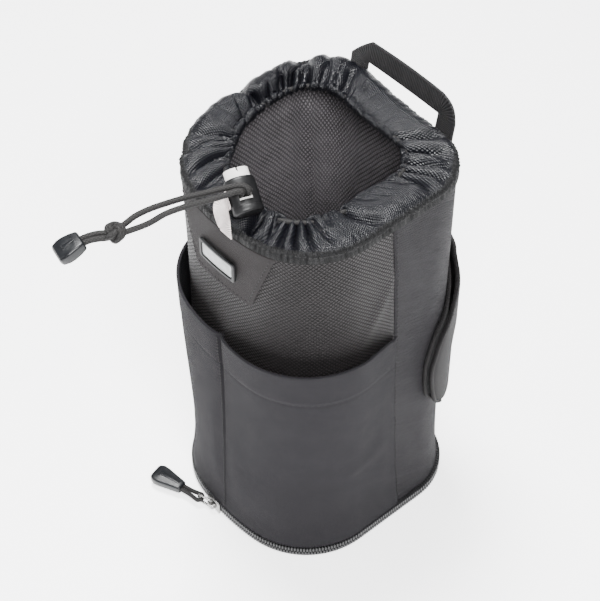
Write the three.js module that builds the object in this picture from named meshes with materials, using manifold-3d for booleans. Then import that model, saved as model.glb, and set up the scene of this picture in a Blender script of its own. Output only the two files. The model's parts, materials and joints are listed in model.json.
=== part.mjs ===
// A padded drawstring lens pouch with a zipped base that drops to make it longer.
// Millimetres, +Z up. It stands on its base at the origin, the belt side faces +Y and the badge faces -Y.

import * as THREE from "three";
import { mergeVertices } from "three/addons/utils/BufferGeometryUtils.js";
import Module from "manifold-3d";

const wasm = await Module();
wasm.setup();

// Cloth, padding and clearances
const seatGap = 0.3;
const cutOverrun = 2;
const shellThickness = 1.2;
const foamDepth = 3.6;
const liningThickness = 0.8;

// Wall outline: a flat-backed D of tangent arcs, flared a little at the foot
const wallHalfWidth = 58.5;
const wallFront = 63;
const wallBack = 61;
const frontRadius = 140;
const cornerRadius = 43;
const backRadius = 32.5;
const wallTop = 243;
const footFlare = 3.2;
const flareFade = 22;
const frontSteps = 3;
const cornerSteps = 7;
const sideSteps = 2;
const backCornerSteps = 6;
const wallLevelShares = [0, 0.07, 0.25, 1];
const sideSeamTopY = -0.5;
const sideSeamLowY = 12;
const backSeamShare = 0.5;
const bindingHeight = 2.8;

// Base and its zip
const baseSheetThickness = 1.2;
const baseSheetOut = 0.9;
const baseBoardThickness = 2;
const baseFoamThickness = 4;
const baseLiningThickness = 0.8;
const chainMiddle = 5;
const chainSplit = 1;
const chainHeight = 2;
const chainOut = 1.8;
const tapeThickness = 0.6;
const tapeTop = 15;
const gussetThickness = 0.8;

// Zip slider and its puller
const sliderLength = 12;
const sliderHeight = 8.4;
const sliderPlate = 1.2;
const sliderInnerPlate = 0.8;
const sliderWeb = 0.4;
const sliderWebLength = 3;
const sliderPlace = -9.5;
const archWidth = 3;
const archWall = 1;
const archHalfLength = 2.6;
const barRadius = 0.65;
const bailWire = 1.3;
const bailWidth = 7;
const bailLength = 10;
const pullerTurnDeg = 19;
const pullerCordRadius = 1.3;
const pullerCordLength = 14;
const pullerCordSpread = 1.5;
const pullerCordSteps = 28;
const gripCurveSteps = 5;
const gripLength = 21;
const gripNeck = 6.5;
const gripWidth = 12.5;
const gripHeight = 5.2;
const gripSocket = 3;

// Stretch pocket
const pocketThickness = 1.4;
const pocketStitchTop = 161.5;
const pocketRiseRight = 6;
const pocketRiseLeft = 9;
const pocketGapeRight = 7;
const pocketGapeLeft = 6;
const pocketGapeFrom = 60;
const pocketLevelShares = [0, 0.04, 0.12, 0.35, 0.55, 0.75, 0.9, 1];
const gapeNearShare = 0.5;
const gapeFarShareRight = 0.8;
const gapeFarShareLeft = 2;
const gapeRampShare = 1.3;

// Badge patch, frame and plate
const patchThickness = 0.8;
const patchHeight = 43.5;
const patchLowHalf = 21.5;
const patchTopHalf = 36.5;
const patchSeat = 0.5;
const patchSteps = 14;
const badgeDrop = 24.3;
const badgeHalfWidth = 13.4;
const badgeHalfHeight = 6.3;
const badgeThickness = 1.7;
const badgeRim = 1.7;
const badgeRecess = 0.9;
const badgePlate = 0.7;

// Collar: gathered cloth that folds over a drawcord hem at the mouth
const collarThickness = 1.4;
const collarSeat = 0.7;
const collarStations = 64;
const collarGathers = 16;
const gatherDepth = 1.2;
const mouthShare = 0.7;
const mouthShiftX = -4.1;
const mouthShiftY = -1.9;
const mouthCut = 4.5;
const mouthCutDeg = -140;
const mouthCutSpreadDeg = 26;
const crestHeight = 7;
const crestHump = 10.5;
const crestDip = 2.4;
const crestDipSpread = 34;
const collarBulge = 2.2;
const humpDeg = 160;
const humpSpreadDeg = 55;
const hemHeight = 3.7;
const hemHump = 5;
const hemRadius = 2.6;
const hemTurnDegs = [120, 76, 32, -12, -56, -100];
const collarInShares = [0, 0, 0.06, 0.26, 0.48, 0.7];
const bulgeShares = [0, 1, 0.6, 0, 0, 0];
const collarUpShares = [0, 0.34, 0.76, 0.98, 1, 0.93];
const gatherShares = [0, 0.25, 0.8, 1, 1, 0.6];

// Drawcord, its lock and the free tail
const cordRadius = 1.3;
const cordSides = 8;
const roundSides = 12;
const drawcordSteps = 84;
const tailSteps = 22;
const loopSteps = 4;
const tabSteps = 14;
const knotRings = 10;
const endSides = 16;
const exitPlace = 12.2;
const exitSpread = 4.2;
const exitCutWidth = 12;
const exitCutDepth = 8;
const exitRise = 5.5;
const exitLean = 2.5;
const lockX = 5.9;
const lockInset = 11.3;
const lockRise = 15.5;
const lockAxisShares = [0.83, -0.31, -0.46];
const barrelWidth = 15.6;
const barrelDepth = 10.6;
const barrelLength = 18.5;
const barrelWall = 1.2;
const barrelFloor = 1.2;
const plungerOut = 5;
const plungerTravel = 3.5;
const stemReach = 2.9;
const springWall = 0.7;
const springHalfWidth = 3;
const strandSpread = 1.7;
const windowHalfWidth = 3.4;
const windowHalfLength = 1.7;
const tabThickness = 0.9;
const tabWidth = 8.5;
const tabDrop = 2;
const tabReach = 3;
const knotRadius = 5.4;
const cordEndLength = 18.2;
const cordEndNeck = 8;
const cordEndWidth = 13;
const cordEndHeight = 6;
const cordEndLengthShares = [0, 0.3, 0.75, 0.94, 1];
const cordEndWidthShares = [0.1, 0.45, 1, 0.85, 0.55];
const cordEndHeightShares = [0.85, 1, 1, 0.85, 0.55];

// Webbing handle
const strapWidth = 12.7;
const strapThickness = 1.8;
const windowWidth = 52;
const windowRise = 8.6;
const handleShift = -5;
const handleLeanDeg = 12;
const anchorHeight = 15;
const handleLift = 1.2;

// Belt carrier on the back: fixed pad, outer flap, hook and loop
const padThickness = 2;
const padBottom = 78;
const padTop = 172;
const padWing = 32.3;
const flapThickness = 2.4;
const flapBottom = 76;
const flapWing = 30.5;
const flapRise = 16;
const flapSeamHeight = 6;
const wingStand = 1;
const closureStand = 2.4;
const tunnelStand = 6.7;
const tunnelLow = 107;
const tunnelRise = 18;
const tunnelHigh = 150;
const loopThickness = 0.7;
const loopHalfWidth = 30;
const loopHeight = 24;
const loopInset = 3;
const flapLevelShares = [0, 0.14, 0.28, 0.36, 0.45, 0.66, 0.75, 0.86, 0.95, 1];
// Front edges of the wings in the side view: share of the wing's depth, share of the height
const padEdgeShares = [
  [0.62, 0], [0.93, 0.14], [1, 0.34], [0.98, 0.46], [0.8, 0.64], [0.5, 0.74], [0.18, 0.88], [0, 1],
];
const flapEdgeShares = [
  [0.6, 0], [0.85, 0.08], [0.967, 0.214], [1, 0.33], [0.944, 0.41],
  [0.774, 0.536], [0.393, 0.634], [0.05, 0.795], [-0.02, 1],
];

// Points of the free tail, chosen by eye along the photographed run
const strandAPoints = [
  [7.4, -53, 267.6], [2.9, -59.6, 267], [-1.6, -68.6, 266.2], [-6.2, -77.8, 265.4], [-10.4, -86.6, 264],
  [-13.4, -94, 262.8], [-15.6, -101.2, 261], [-16.4, -107.8, 258.8],
];
const strandBPoints = [
  [7.4, -57.4, 266.6], [5.4, -62.4, 265.8], [1.8, -71, 265], [-2.4, -80.8, 264.2], [-5.9, -90, 262.8],
  [-9.2, -98.6, 261], [-13.2, -106.6, 258.4],
];
const loopPoints = [
  [[-18.4, -113.6, 256.6], [-20.8, -117.4, 255.8], [-22.8, -121, 255], [-24.4, -124, 254.2]],
  [[-15.6, -115, 256.2], [-17.8, -118.8, 255.4], [-19.8, -122.4, 254.6], [-21.2, -125, 254]],
];
const knotPlace = [-15.8, -110.8, 257.4];
const cordEndPlace = [-22.2, -122.6, 254.4];
const cordEndTip = [-27.9, -140.4, 251];

// Worked-out places
const cornerX = wallHalfWidth - cornerRadius;
const frontY = frontRadius - wallFront;
const cornerY = frontY - Math.sqrt((frontRadius - cornerRadius) ** 2 - cornerX ** 2);
const backX = wallHalfWidth - backRadius;
const backY = wallBack - backRadius;
const frontSweep = Math.asin(cornerX / (frontRadius - cornerRadius));
const frontLength = frontRadius * frontSweep;
const cornerLength = cornerRadius * (Math.PI / 2 - frontSweep);
const sideLength = backY - cornerY;
const backCornerLength = (backRadius * Math.PI) / 2;
const halfLength = frontLength + cornerLength + sideLength + backCornerLength + backX;
const chainLowTop = chainMiddle - chainSplit / 2;
const chainUpLow = chainMiddle + chainSplit / 2;
const wallBottom = chainUpLow + chainHeight + seatGap;
const tapeIn = shellThickness + seatGap;
const sliderInnerIn = tapeIn + tapeThickness + seatGap;
const gussetIn = sliderInnerIn + sliderInnerPlate + seatGap;
const foamIn = shellThickness + seatGap;
const liningIn = foamIn + foamDepth + seatGap;
const liningFace = liningIn + liningThickness;
const foamBottom = tapeTop + seatGap;
const foamTop = wallTop - bindingHeight - 2 * seatGap;
const patchBottom = wallTop - patchHeight;
const badgeMiddle = wallTop - badgeDrop;
const flapHinge = padTop + flapRise;
const toRadians = Math.PI / 180;
const mergeDistance = seatGap / 1000;
const fullTurnDeg = 360;

// Outward spread of the wall near its foot
function flare(z) {
  return footFlare * Math.exp(-Math.max(z - wallBottom, 0) / flareFade);
}

// A point of the wall: its length along the outline from the front centre, its distance out, its height
function wallPoint(along, out, z) {
  const side = along < 0 ? -1 : 1;
  const off = out + flare(z);
  let rest = Math.abs(along);
  if (rest <= frontLength) {
    const turn = rest / frontRadius;
    const reach = frontRadius + off;
    return new THREE.Vector3(side * reach * Math.sin(turn), frontY - reach * Math.cos(turn), z);
  }
  rest -= frontLength;
  if (rest <= cornerLength) {
    const turn = frontSweep + rest / cornerRadius;
    const reach = cornerRadius + off;
    return new THREE.Vector3(side * (cornerX + reach * Math.sin(turn)), cornerY - reach * Math.cos(turn), z);
  }
  rest -= cornerLength;
  if (rest <= sideLength) {
    return new THREE.Vector3(side * (wallHalfWidth + off), cornerY + rest, z);
  }
  rest -= sideLength;
  if (rest <= backCornerLength) {
    const turn = rest / backRadius;
    const reach = backRadius + off;
    return new THREE.Vector3(side * (backX + reach * Math.cos(turn)), backY + reach * Math.sin(turn), z);
  }
  rest -= backCornerLength;
  return new THREE.Vector3(side * (backX - rest), wallBack + off, z);
}

// Lengths along one half of the outline where the sheets have their edges
function halfMarks() {
  const stretches = [
    [frontLength, frontSteps],
    [cornerLength, cornerSteps],
    [sideLength, sideSteps],
    [backCornerLength, backCornerSteps],
    [backX, 1],
  ];
  const marks = [0];
  for (const [length, steps] of stretches) {
    const start = marks[marks.length - 1];
    for (let step = 1; step <= steps; step++) {
      marks.push(start + (length * step) / steps);
    }
  }
  return marks;
}
const rightMarks = halfMarks();
const allMarks = [...rightMarks.slice(1).map((mark) => -mark).reverse(), ...rightMarks];

// Stations of a sheet that runs between two lengths, each given at any height
function stationsBetween(from, to, midZ) {
  const low = from(midZ) + cutOverrun;
  const high = to(midZ) - cutOverrun;
  const inner = allMarks.filter((mark) => mark > low && mark < high);
  return [from, ...inner.map((mark) => () => mark), to];
}
const ringStations = allMarks.slice(1).map((mark) => () => mark);

// Stations across the back, from one length on the right to its mirror on the left
function backStations(from) {
  const marks = rightMarks.filter((mark) => mark > from() + cutOverrun);
  const right = marks.map((mark) => () => mark);
  const left = marks.slice(0, -1).reverse().map((mark) => () => -mark);
  return [from, ...right, ...left, () => -from()];
}

function seamAlong(z) {
  const y = THREE.MathUtils.lerp(sideSeamLowY, sideSeamTopY, z / wallTop);
  return frontLength + cornerLength + (y - cornerY);
}
const backSeamAlong = frontLength + cornerLength + sideLength + backCornerLength * backSeamShare;

// One closed body through rings of points; open ones are capped across their paired points
function loft(rings, closed) {
  const count = rings[0].length;
  const positions = [];
  const face = (a, b, c) => {
    for (const point of [a, b, c]) {
      positions.push(point.x, point.y, point.z);
    }
  };
  const last = closed ? rings.length : rings.length - 1;
  for (let i = 0; i < last; i++) {
    const here = rings[i];
    const next = rings[(i + 1) % rings.length];
    for (let j = 0; j < count; j++) {
      const k = (j + 1) % count;
      face(here[j], next[j], next[k]);
      face(here[j], next[k], here[k]);
    }
  }
  if (!closed) {
    const end = rings[rings.length - 1];
    for (let j = 0; j < count / 2 - 1; j++) {
      const m = count - 1 - j;
      face(rings[0][j], rings[0][j + 1], rings[0][m - 1]);
      face(rings[0][j], rings[0][m - 1], rings[0][m]);
      face(end[j], end[m - 1], end[j + 1]);
      face(end[j], end[m], end[m - 1]);
    }
  }
  const geometry = new THREE.BufferGeometry();
  geometry.setAttribute("position", new THREE.Float32BufferAttribute(positions, 3));
  return outward(mergeVertices(geometry, mergeDistance));
}

// The same body with its faces turned to point out
function outward(geometry) {
  const index = geometry.index.array;
  const at = geometry.getAttribute("position");
  const [a, b, c] = [new THREE.Vector3(), new THREE.Vector3(), new THREE.Vector3()];
  let volume = 0;
  for (let i = 0; i < index.length; i += 3) {
    a.fromBufferAttribute(at, index[i]);
    b.fromBufferAttribute(at, index[i + 1]);
    c.fromBufferAttribute(at, index[i + 2]);
    volume += a.dot(b.cross(c));
  }
  if (volume < 0) {
    for (let i = 0; i < index.length; i += 3) {
      [index[i + 1], index[i + 2]] = [index[i + 2], index[i + 1]];
    }
  }
  return geometry;
}

// A sheet on the wall between two faces, given as distances out at each length and height
function wallSheet({ stations, shares, low, high, outer, inner, closed = false }) {
  const rings = stations.map((station) => {
    const nominal = station((low(0) + high(0)) / 2);
    const heights = shares.map((share) => THREE.MathUtils.lerp(low(nominal), high(nominal), share));
    const face = (out) => heights.map((z) => wallPoint(station(z), out(station(z), z), z));
    return [...face(outer), ...face(inner).reverse()];
  });
  return loft(rings, closed);
}

// Manifold solids for joining and cutting
function toSolid(geometry) {
  const bare = geometry.clone();
  bare.deleteAttribute("normal");
  bare.deleteAttribute("uv");
  const merged = mergeVertices(bare, mergeDistance);
  return new wasm.Manifold(
    new wasm.Mesh({
      numProp: 3,
      vertProperties: merged.getAttribute("position").array,
      triVerts: new Uint32Array(merged.index.array),
    }),
  );
}

function toGeometry(solid) {
  const made = solid.getMesh();
  const geometry = new THREE.BufferGeometry();
  geometry.setAttribute("position", new THREE.BufferAttribute(new Float32Array(made.vertProperties), 3));
  geometry.setIndex(new THREE.BufferAttribute(new Uint32Array(made.triVerts), 1));
  return geometry;
}

function cut(geometry, ...cutters) {
  return toGeometry(cutters.reduce((left, cutter) => left.subtract(toSolid(cutter)), toSolid(geometry)));
}

function join(...geometries) {
  return toGeometry(geometries.map(toSolid).reduce((left, right) => left.add(right)));
}

// A box from its two corners
function boxBetween(low, high) {
  const size = high.map((value, i) => value - low[i]);
  const box = new THREE.BoxGeometry(...size);
  return box.translate(...low.map((value, i) => value + size[i] / 2));
}

const group = new THREE.Group();
function add(name, geometry, { color, roughness, metalness = 0 }) {
  geometry.computeVertexNormals();
  const mesh = new THREE.Mesh(geometry, new THREE.MeshStandardMaterial({ color, roughness, metalness }));
  mesh.name = name;
  group.add(mesh);
  return mesh;
}

// Finishes
const weave = { color: 0x4b4749, roughness: 0.85 };
const twill = { color: 0x4a484c, roughness: 0.85 };
const padding = { color: 0x2e2e30, roughness: 0.95 };
const liningCloth = { color: 0x454346, roughness: 0.85 };
const smoothCloth = { color: 0x504c4e, roughness: 0.8 };
const stretchCloth = { color: 0x464449, roughness: 0.9 };
const nylon = { color: 0x3c3d44, roughness: 0.5 };
const webbing = { color: 0x333235, roughness: 0.85 };
const zipTape = { color: 0x1f1f21, roughness: 0.9 };
const zipTeeth = { color: 0x2b2b2e, roughness: 0.4 };
const blackPlastic = { color: 0x1d1d1f, roughness: 0.35 };
const whitePlastic = { color: 0xe9e6e3, roughness: 0.5 };
const whiteTape = { color: 0xe6dfdb, roughness: 0.8 };
const silver = { color: 0xb8b5b0, roughness: 0.3, metalness: 1 };
const cordCloth = { color: 0x2a292b, roughness: 0.8 };
const greyPlastic = { color: 0x3f4145, roughness: 0.4 };
const paleFoil = { color: 0xc9c9c6, roughness: 0.45 };
const rubber = { color: 0x262628, roughness: 0.7 };
const hookTape = { color: 0x161617, roughness: 0.95 };

// Shell panels, padding, lining and the tape round the top edge
function addWall() {
  const panel = { shares: wallLevelShares, low: () => wallBottom, high: () => wallTop };
  const faces = { outer: () => 0, inner: () => -shellThickness };
  const middle = (wallBottom + wallTop) / 2;
  const half = seatGap / 2;
  const frontEdge = (z) => seamAlong(z) - half;
  const sideFront = (z) => seamAlong(z) + half;
  const sideBack = () => backSeamAlong - half;
  const mirror = (edge) => (z) => -edge(z);
  const front = stationsBetween(mirror(frontEdge), frontEdge, middle);
  add("front_panel", wallSheet({ ...panel, ...faces, stations: front }), weave);
  const right = stationsBetween(sideFront, sideBack, middle);
  add("side_panel_right", wallSheet({ ...panel, ...faces, stations: right }), twill);
  const left = stationsBetween(mirror(sideBack), mirror(sideFront), middle);
  add("side_panel_left", wallSheet({ ...panel, ...faces, stations: left }), twill);
  const backFaces = { ...panel, ...faces, stations: backStations(() => backSeamAlong + half) };
  add("back_panel", wallSheet(backFaces), twill);
  const bends = wallLevelShares.slice(1, -1).map((share) => THREE.MathUtils.lerp(wallBottom, wallTop, share));
  const levels = bends.map((z) => (z - foamBottom) / (foamTop - foamBottom));
  const sleeve = { shares: [0, ...levels, 1], low: () => foamBottom, high: () => foamTop };
  const ring = { stations: ringStations, closed: true };
  const foam = { outer: () => -foamIn, inner: () => -foamIn - foamDepth };
  add("foam_padding", wallSheet({ ...sleeve, ...ring, ...foam }), padding);
  const lining = { outer: () => -liningIn, inner: () => -liningFace };
  add("lining", wallSheet({ ...sleeve, ...ring, ...lining }), liningCloth);
  const tape = { shares: [0, 1], low: () => foamTop + seatGap, high: () => wallTop - seatGap };
  const rim = { outer: () => -foamIn, inner: () => -liningFace };
  add("seam_binding", wallSheet({ ...tape, ...ring, ...rim }), cordCloth);
}

// Base layers, the folded extension sleeve and both halves of the zip
function outlineShape(out, z) {
  const shape = new THREE.Shape();
  ringStations.forEach((station, i) => {
    const point = wallPoint(station(z), out, z);
    if (i === 0) {
      shape.moveTo(point.x, point.y);
    } else {
      shape.lineTo(point.x, point.y);
    }
  });
  shape.closePath();
  return shape;
}

function plate(out, outlineZ, low, thickness) {
  const options = { depth: thickness, bevelEnabled: false };
  const geometry = new THREE.ExtrudeGeometry(outlineShape(out, outlineZ), options);
  return geometry.translate(0, 0, low);
}

function addBase() {
  const inside = -(gussetIn + gussetThickness + seatGap);
  const boardLow = baseSheetThickness + seatGap;
  const foamLow = boardLow + baseBoardThickness + seatGap;
  const liningLow = foamLow + baseFoamThickness + seatGap;
  add("base_panel", plate(baseSheetOut, 0, 0, baseSheetThickness), twill);
  add("base_board", plate(inside, tapeTop, boardLow, baseBoardThickness), blackPlastic);
  add("base_foam", plate(inside, tapeTop, foamLow, baseFoamThickness), padding);
  add("base_lining", plate(inside, tapeTop, liningLow, baseLiningThickness), liningCloth);
  const ring = { stations: ringStations, closed: true };
  const gusset = { outer: () => -gussetIn, inner: () => -gussetIn - gussetThickness };
  const gussetSpan = { shares: [0, 1], low: () => boardLow, high: () => tapeTop };
  add("base_gusset", wallSheet({ ...ring, ...gusset, ...gussetSpan }), nylon);
  const tape = { outer: () => -tapeIn, inner: () => -tapeIn - tapeThickness };
  const bend = (low) => [0, (wallBottom - low) / (tapeTop - low), 1];
  const upperSpan = { shares: bend(chainUpLow), low: () => chainUpLow, high: () => tapeTop };
  const lowerSpan = { shares: [0, 1], low: () => boardLow, high: () => chainLowTop };
  add("zip_tape_upper", wallSheet({ ...ring, ...tape, ...upperSpan }), zipTape);
  add("zip_tape_lower", wallSheet({ ...ring, ...tape, ...lowerSpan }), zipTape);
  const teeth = { outer: () => chainOut, inner: () => -shellThickness };
  const upperTeeth = { shares: [0, 1], low: () => chainUpLow, high: () => chainUpLow + chainHeight };
  const lowerTeeth = { shares: [0, 1], low: () => chainLowTop - chainHeight, high: () => chainLowTop };
  add("zip_chain_upper", wallSheet({ ...ring, ...teeth, ...upperTeeth }), zipTeeth);
  add("zip_chain_lower", wallSheet({ ...ring, ...teeth, ...lowerTeeth }), zipTeeth);
}

// Zip slider: two plates astride the chain, joined by a thin web, with an arch over the bar of the bail
function addSlider() {
  const turn = sliderPlace / frontRadius;
  const frame = new THREE.Matrix4()
    .makeTranslation(0, frontY, 0)
    .multiply(new THREE.Matrix4().makeRotationZ(turn))
    .multiply(new THREE.Matrix4().makeTranslation(0, -(frontRadius + footFlare), 0));
  const half = sliderLength / 2;
  const low = chainMiddle - sliderHeight / 2;
  const high = chainMiddle + sliderHeight / 2;
  const face = -(chainOut + seatGap);
  const innerFace = sliderInnerIn;
  const plateFace = face - sliderPlate;
  const outerPlate = boxBetween([-half, plateFace, low], [half, face, high]);
  const innerLow = baseSheetThickness + 2 * seatGap;
  const innerHigh = wallBottom - seatGap;
  const innerBack = innerFace + sliderInnerPlate;
  const innerPlate = boxBetween([-half, innerFace, innerLow], [half, innerBack, innerHigh]);
  const webHalf = sliderWeb / 2;
  const plateMiddle = face - sliderPlate / 2;
  const web = boxBetween(
    [half - sliderWebLength, plateMiddle, chainMiddle - webHalf],
    [half, innerFace + sliderInnerPlate / 2, chainMiddle + webHalf],
  );
  const archGap = 2 * (barRadius + seatGap);
  const archHalf = archWidth / 2;
  const archTop = plateFace - archGap - archWall;
  const archLow = chainMiddle - archHalf;
  const archHigh = chainMiddle + archHalf;
  const arch = boxBetween([-archHalfLength, archTop, archLow], [archHalfLength, plateMiddle, archHigh]);
  const underArch = boxBetween(
    [archWall - archHalfLength, plateFace - archGap, archLow - cutOverrun],
    [archHalfLength - archWall, plateFace, archHigh + cutOverrun],
  );
  const body = join(outerPlate, innerPlate, web, cut(arch, underArch));
  add("slider_body", body.applyMatrix4(frame), silver);

  const pinY = plateFace - archGap / 2;
  const pull = frame
    .clone()
    .multiply(new THREE.Matrix4().makeTranslation(0, pinY, 0))
    .multiply(new THREE.Matrix4().makeRotationZ(pullerTurnDeg * toRadians));
  const bailHalf = bailWidth / 2;
  const wire = bailWire / 2;
  const frameBox = boxBetween(
    [-bailLength, -wire, chainMiddle - bailHalf],
    [0, wire, chainMiddle + bailHalf],
  );
  const window = boxBetween(
    [bailWire - bailLength, -wire - cutOverrun, chainMiddle - bailHalf + bailWire],
    [cutOverrun, wire + cutOverrun, chainMiddle + bailHalf - bailWire],
  );
  const bar = new THREE.CylinderGeometry(barRadius, barRadius, bailWidth, roundSides);
  bar.rotateX(Math.PI / 2);
  bar.translate(0, 0, chainMiddle);
  add("slider_bail", join(cut(frameBox, window), bar).applyMatrix4(pull), silver);

  const loopX = bailWire - bailLength + seatGap + pullerCordRadius;
  const gripX = -bailLength - pullerCordLength;
  const spread = pullerCordSpread;
  const behind = wire + seatGap + pullerCordRadius;
  const middleX = THREE.MathUtils.lerp(gripX, loopX, 1 / 2);
  const path = new THREE.CatmullRomCurve3([
    new THREE.Vector3(gripX, -spread, chainMiddle),
    new THREE.Vector3(middleX, -behind, chainMiddle),
    new THREE.Vector3(loopX - pullerCordRadius, -behind, chainMiddle),
    new THREE.Vector3(loopX, 0, chainMiddle),
    new THREE.Vector3(loopX - pullerCordRadius, behind, chainMiddle),
    new THREE.Vector3(middleX, behind, chainMiddle),
    new THREE.Vector3(gripX, spread, chainMiddle),
  ]);
  add("puller_cord", tube(path, pullerCordRadius, pullerCordSteps).applyMatrix4(pull), cordCloth);

  const grip = wedge(gripX + gripSocket, gripNeck, gripWidth, gripLength, gripHeight);
  const sleeve = pullerCordRadius + seatGap;
  const socket = boxBetween(
    [gripX - seatGap, -spread - sleeve, chainMiddle - sleeve],
    [gripX + gripSocket + cutOverrun, spread + sleeve, chainMiddle + sleeve],
  );
  add("puller_grip", cut(grip, socket).applyMatrix4(pull), greyPlastic);
}

// A round section carried along a curve
function tube(path, radius, steps) {
  const section = new THREE.Shape();
  for (let i = 0; i < cordSides; i++) {
    const turn = (2 * Math.PI * i) / cordSides;
    const point = [radius * Math.cos(turn), radius * Math.sin(turn)];
    if (i === 0) {
      section.moveTo(...point);
    } else {
      section.lineTo(...point);
    }
  }
  section.closePath();
  return new THREE.ExtrudeGeometry(section, { steps, bevelEnabled: false, extrudePath: path });
}

// A moulded wedge that widens from its neck, lying along -X at the chain's height
function wedge(neckX, neck, width, length, height) {
  const half = width / 2;
  const shape = new THREE.Shape();
  shape.moveTo(neckX, -neck / 2);
  shape.lineTo(neckX, neck / 2);
  shape.lineTo(neckX - length + half / 2, half);
  shape.quadraticCurveTo(neckX - length, half, neckX - length, 0);
  shape.quadraticCurveTo(neckX - length, -half, neckX - length + half / 2, -half);
  shape.closePath();
  const options = { depth: height, bevelEnabled: false, curveSegments: gripCurveSteps };
  const body = new THREE.ExtrudeGeometry(shape, options);
  return body.translate(0, 0, chainMiddle - height / 2);
}

// Stretch pocket: pinned at the centre stitch and the side seams, gaping between them
function gape(along, z) {
  const right = along >= 0;
  const far = right ? gapeFarShareRight : gapeFarShareLeft;
  const share = Math.min(Math.abs(along) / seamAlong(z), 1);
  const peak = gapeNearShare / (gapeNearShare + far);
  const shape = (value) => value ** gapeNearShare * (1 - value) ** far;
  const ramp = Math.max(z - pocketGapeFrom, 0) / (pocketTop(along) - pocketGapeFrom);
  const most = right ? pocketGapeRight : pocketGapeLeft;
  return (most * shape(share) * Math.min(ramp, 1) ** gapeRampShare) / shape(peak);
}

function pocketTop(along) {
  const share = Math.min(Math.abs(along) / seamAlong(pocketStitchTop), 1);
  const rise = along >= 0 ? pocketRiseRight : pocketRiseLeft;
  return pocketStitchTop + rise * Math.sqrt(Math.sin(Math.PI * share));
}

function addPocket() {
  const edge = (z) => seamAlong(z) - seatGap / 2;
  const stations = stationsBetween((z) => -edge(z), edge, pocketStitchTop / 2);
  const sheet = wallSheet({
    stations,
    shares: pocketLevelShares,
    low: () => wallBottom,
    high: pocketTop,
    outer: (along, z) => seatGap + gape(along, z) + pocketThickness,
    inner: (along, z) => seatGap + gape(along, z),
  });
  add("stretch_pocket", sheet, stretchCloth);
}

// Smooth patch with its rubber badge frame and bare plate
function spreadStations(halfAt) {
  return Array.from({ length: patchSteps + 1 }, (_, i) => (z) => ((2 * i) / patchSteps - 1) * halfAt(z));
}

function curvedPlate(halfWidth, middle, halfHeight, inner, outer) {
  return wallSheet({
    stations: spreadStations(() => halfWidth),
    shares: [0, 1],
    low: () => middle - halfHeight,
    high: () => middle + halfHeight,
    outer: () => outer,
    inner: () => inner,
  });
}

function addBadge() {
  const patchOuter = patchSeat + patchThickness;
  const patchTop = wallTop - seatGap;
  const halfAt = (z) => THREE.MathUtils.mapLinear(z, patchBottom, patchTop, patchLowHalf, patchTopHalf);
  const patch = wallSheet({
    stations: spreadStations(halfAt),
    shares: [0, 1 / 2, 1],
    low: () => patchBottom,
    high: () => patchTop,
    outer: () => patchOuter,
    inner: () => patchSeat,
  });
  add("badge_patch", patch, smoothCloth);
  const frameInner = patchOuter + seatGap;
  const frameOuter = frameInner + badgeThickness;
  const recessFloor = frameOuter - badgeRecess;
  const frame = curvedPlate(badgeHalfWidth, badgeMiddle, badgeHalfHeight, frameInner, frameOuter);
  const recess = curvedPlate(
    badgeHalfWidth - badgeRim,
    badgeMiddle,
    badgeHalfHeight - badgeRim,
    recessFloor,
    frameOuter + cutOverrun,
  );
  add("badge_frame", cut(frame, recess), rubber);
  const plateInner = recessFloor + seatGap;
  const insert = curvedPlate(
    badgeHalfWidth - badgeRim - seatGap,
    badgeMiddle,
    badgeHalfHeight - badgeRim - seatGap,
    plateInner,
    plateInner + badgePlate,
  );
  add("badge_plate", insert, paleFoil);
}

// Collar: at each station a section in two axes, inward from the wall and up from its top edge
function around(point, middleDeg, spreadDeg) {
  const turn = Math.atan2(point.y, point.x) / toRadians;
  const apart = Math.abs(turn - middleDeg);
  return Math.exp(-((Math.min(apart, fullTurnDeg - apart) / spreadDeg) ** 2));
}

function collarFrame(along) {
  const root = wallPoint(along, -shellThickness / 2, wallTop);
  const mouthX = root.x * mouthShare + mouthShiftX;
  const mouthY = root.y * mouthShare + mouthShiftY;
  const inward = new THREE.Vector3(mouthX, mouthY, wallTop).sub(root);
  const reach = inward.length() + mouthCut * around(root, mouthCutDeg, mouthCutSpreadDeg);
  inward.normalize();
  const hump = around(root, humpDeg, humpSpreadDeg);
  const dip = Math.exp(-((along / crestDipSpread) ** 2));
  const crest = crestHeight + crestHump * hump - crestDip * dip;
  return { root, inward, reach, crest, hump, hem: hemHeight + hemHump * hump };
}

function collarPoint({ root, inward }, across, up) {
  return root.clone().addScaledVector(inward, across).add(new THREE.Vector3(0, 0, up));
}

function collarSection(along) {
  const { reach, crest, hump, hem } = collarFrame(along);
  const wave = gatherDepth * Math.sin((Math.PI * collarGathers * along) / halfLength);
  const section = collarInShares.map((share, i) => {
    const across = share * reach - bulgeShares[i] * collarBulge * hump;
    const up = collarSeat + collarUpShares[i] * (crest - collarSeat);
    return new THREE.Vector2(across, up + wave * gatherShares[i]);
  });
  for (const turn of hemTurnDegs) {
    const across = reach + hemRadius * Math.cos(turn * toRadians);
    section.push(new THREE.Vector2(across, hem + hemRadius * Math.sin(turn * toRadians)));
  }
  return section;
}

// The section's two faces, half a thickness to each side of its middle line
function thicken(section, half) {
  const normals = section.map((point, i) => {
    const before = section[Math.max(i - 1, 0)];
    const after = section[Math.min(i + 1, section.length - 1)];
    const run = after.clone().sub(before).normalize();
    return new THREE.Vector2(-run.y, run.x);
  });
  const upper = section.map((point, i) => point.clone().addScaledVector(normals[i], half));
  const lower = section.map((point, i) => point.clone().addScaledVector(normals[i], -half));
  return [...upper, ...lower.reverse()];
}

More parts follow.
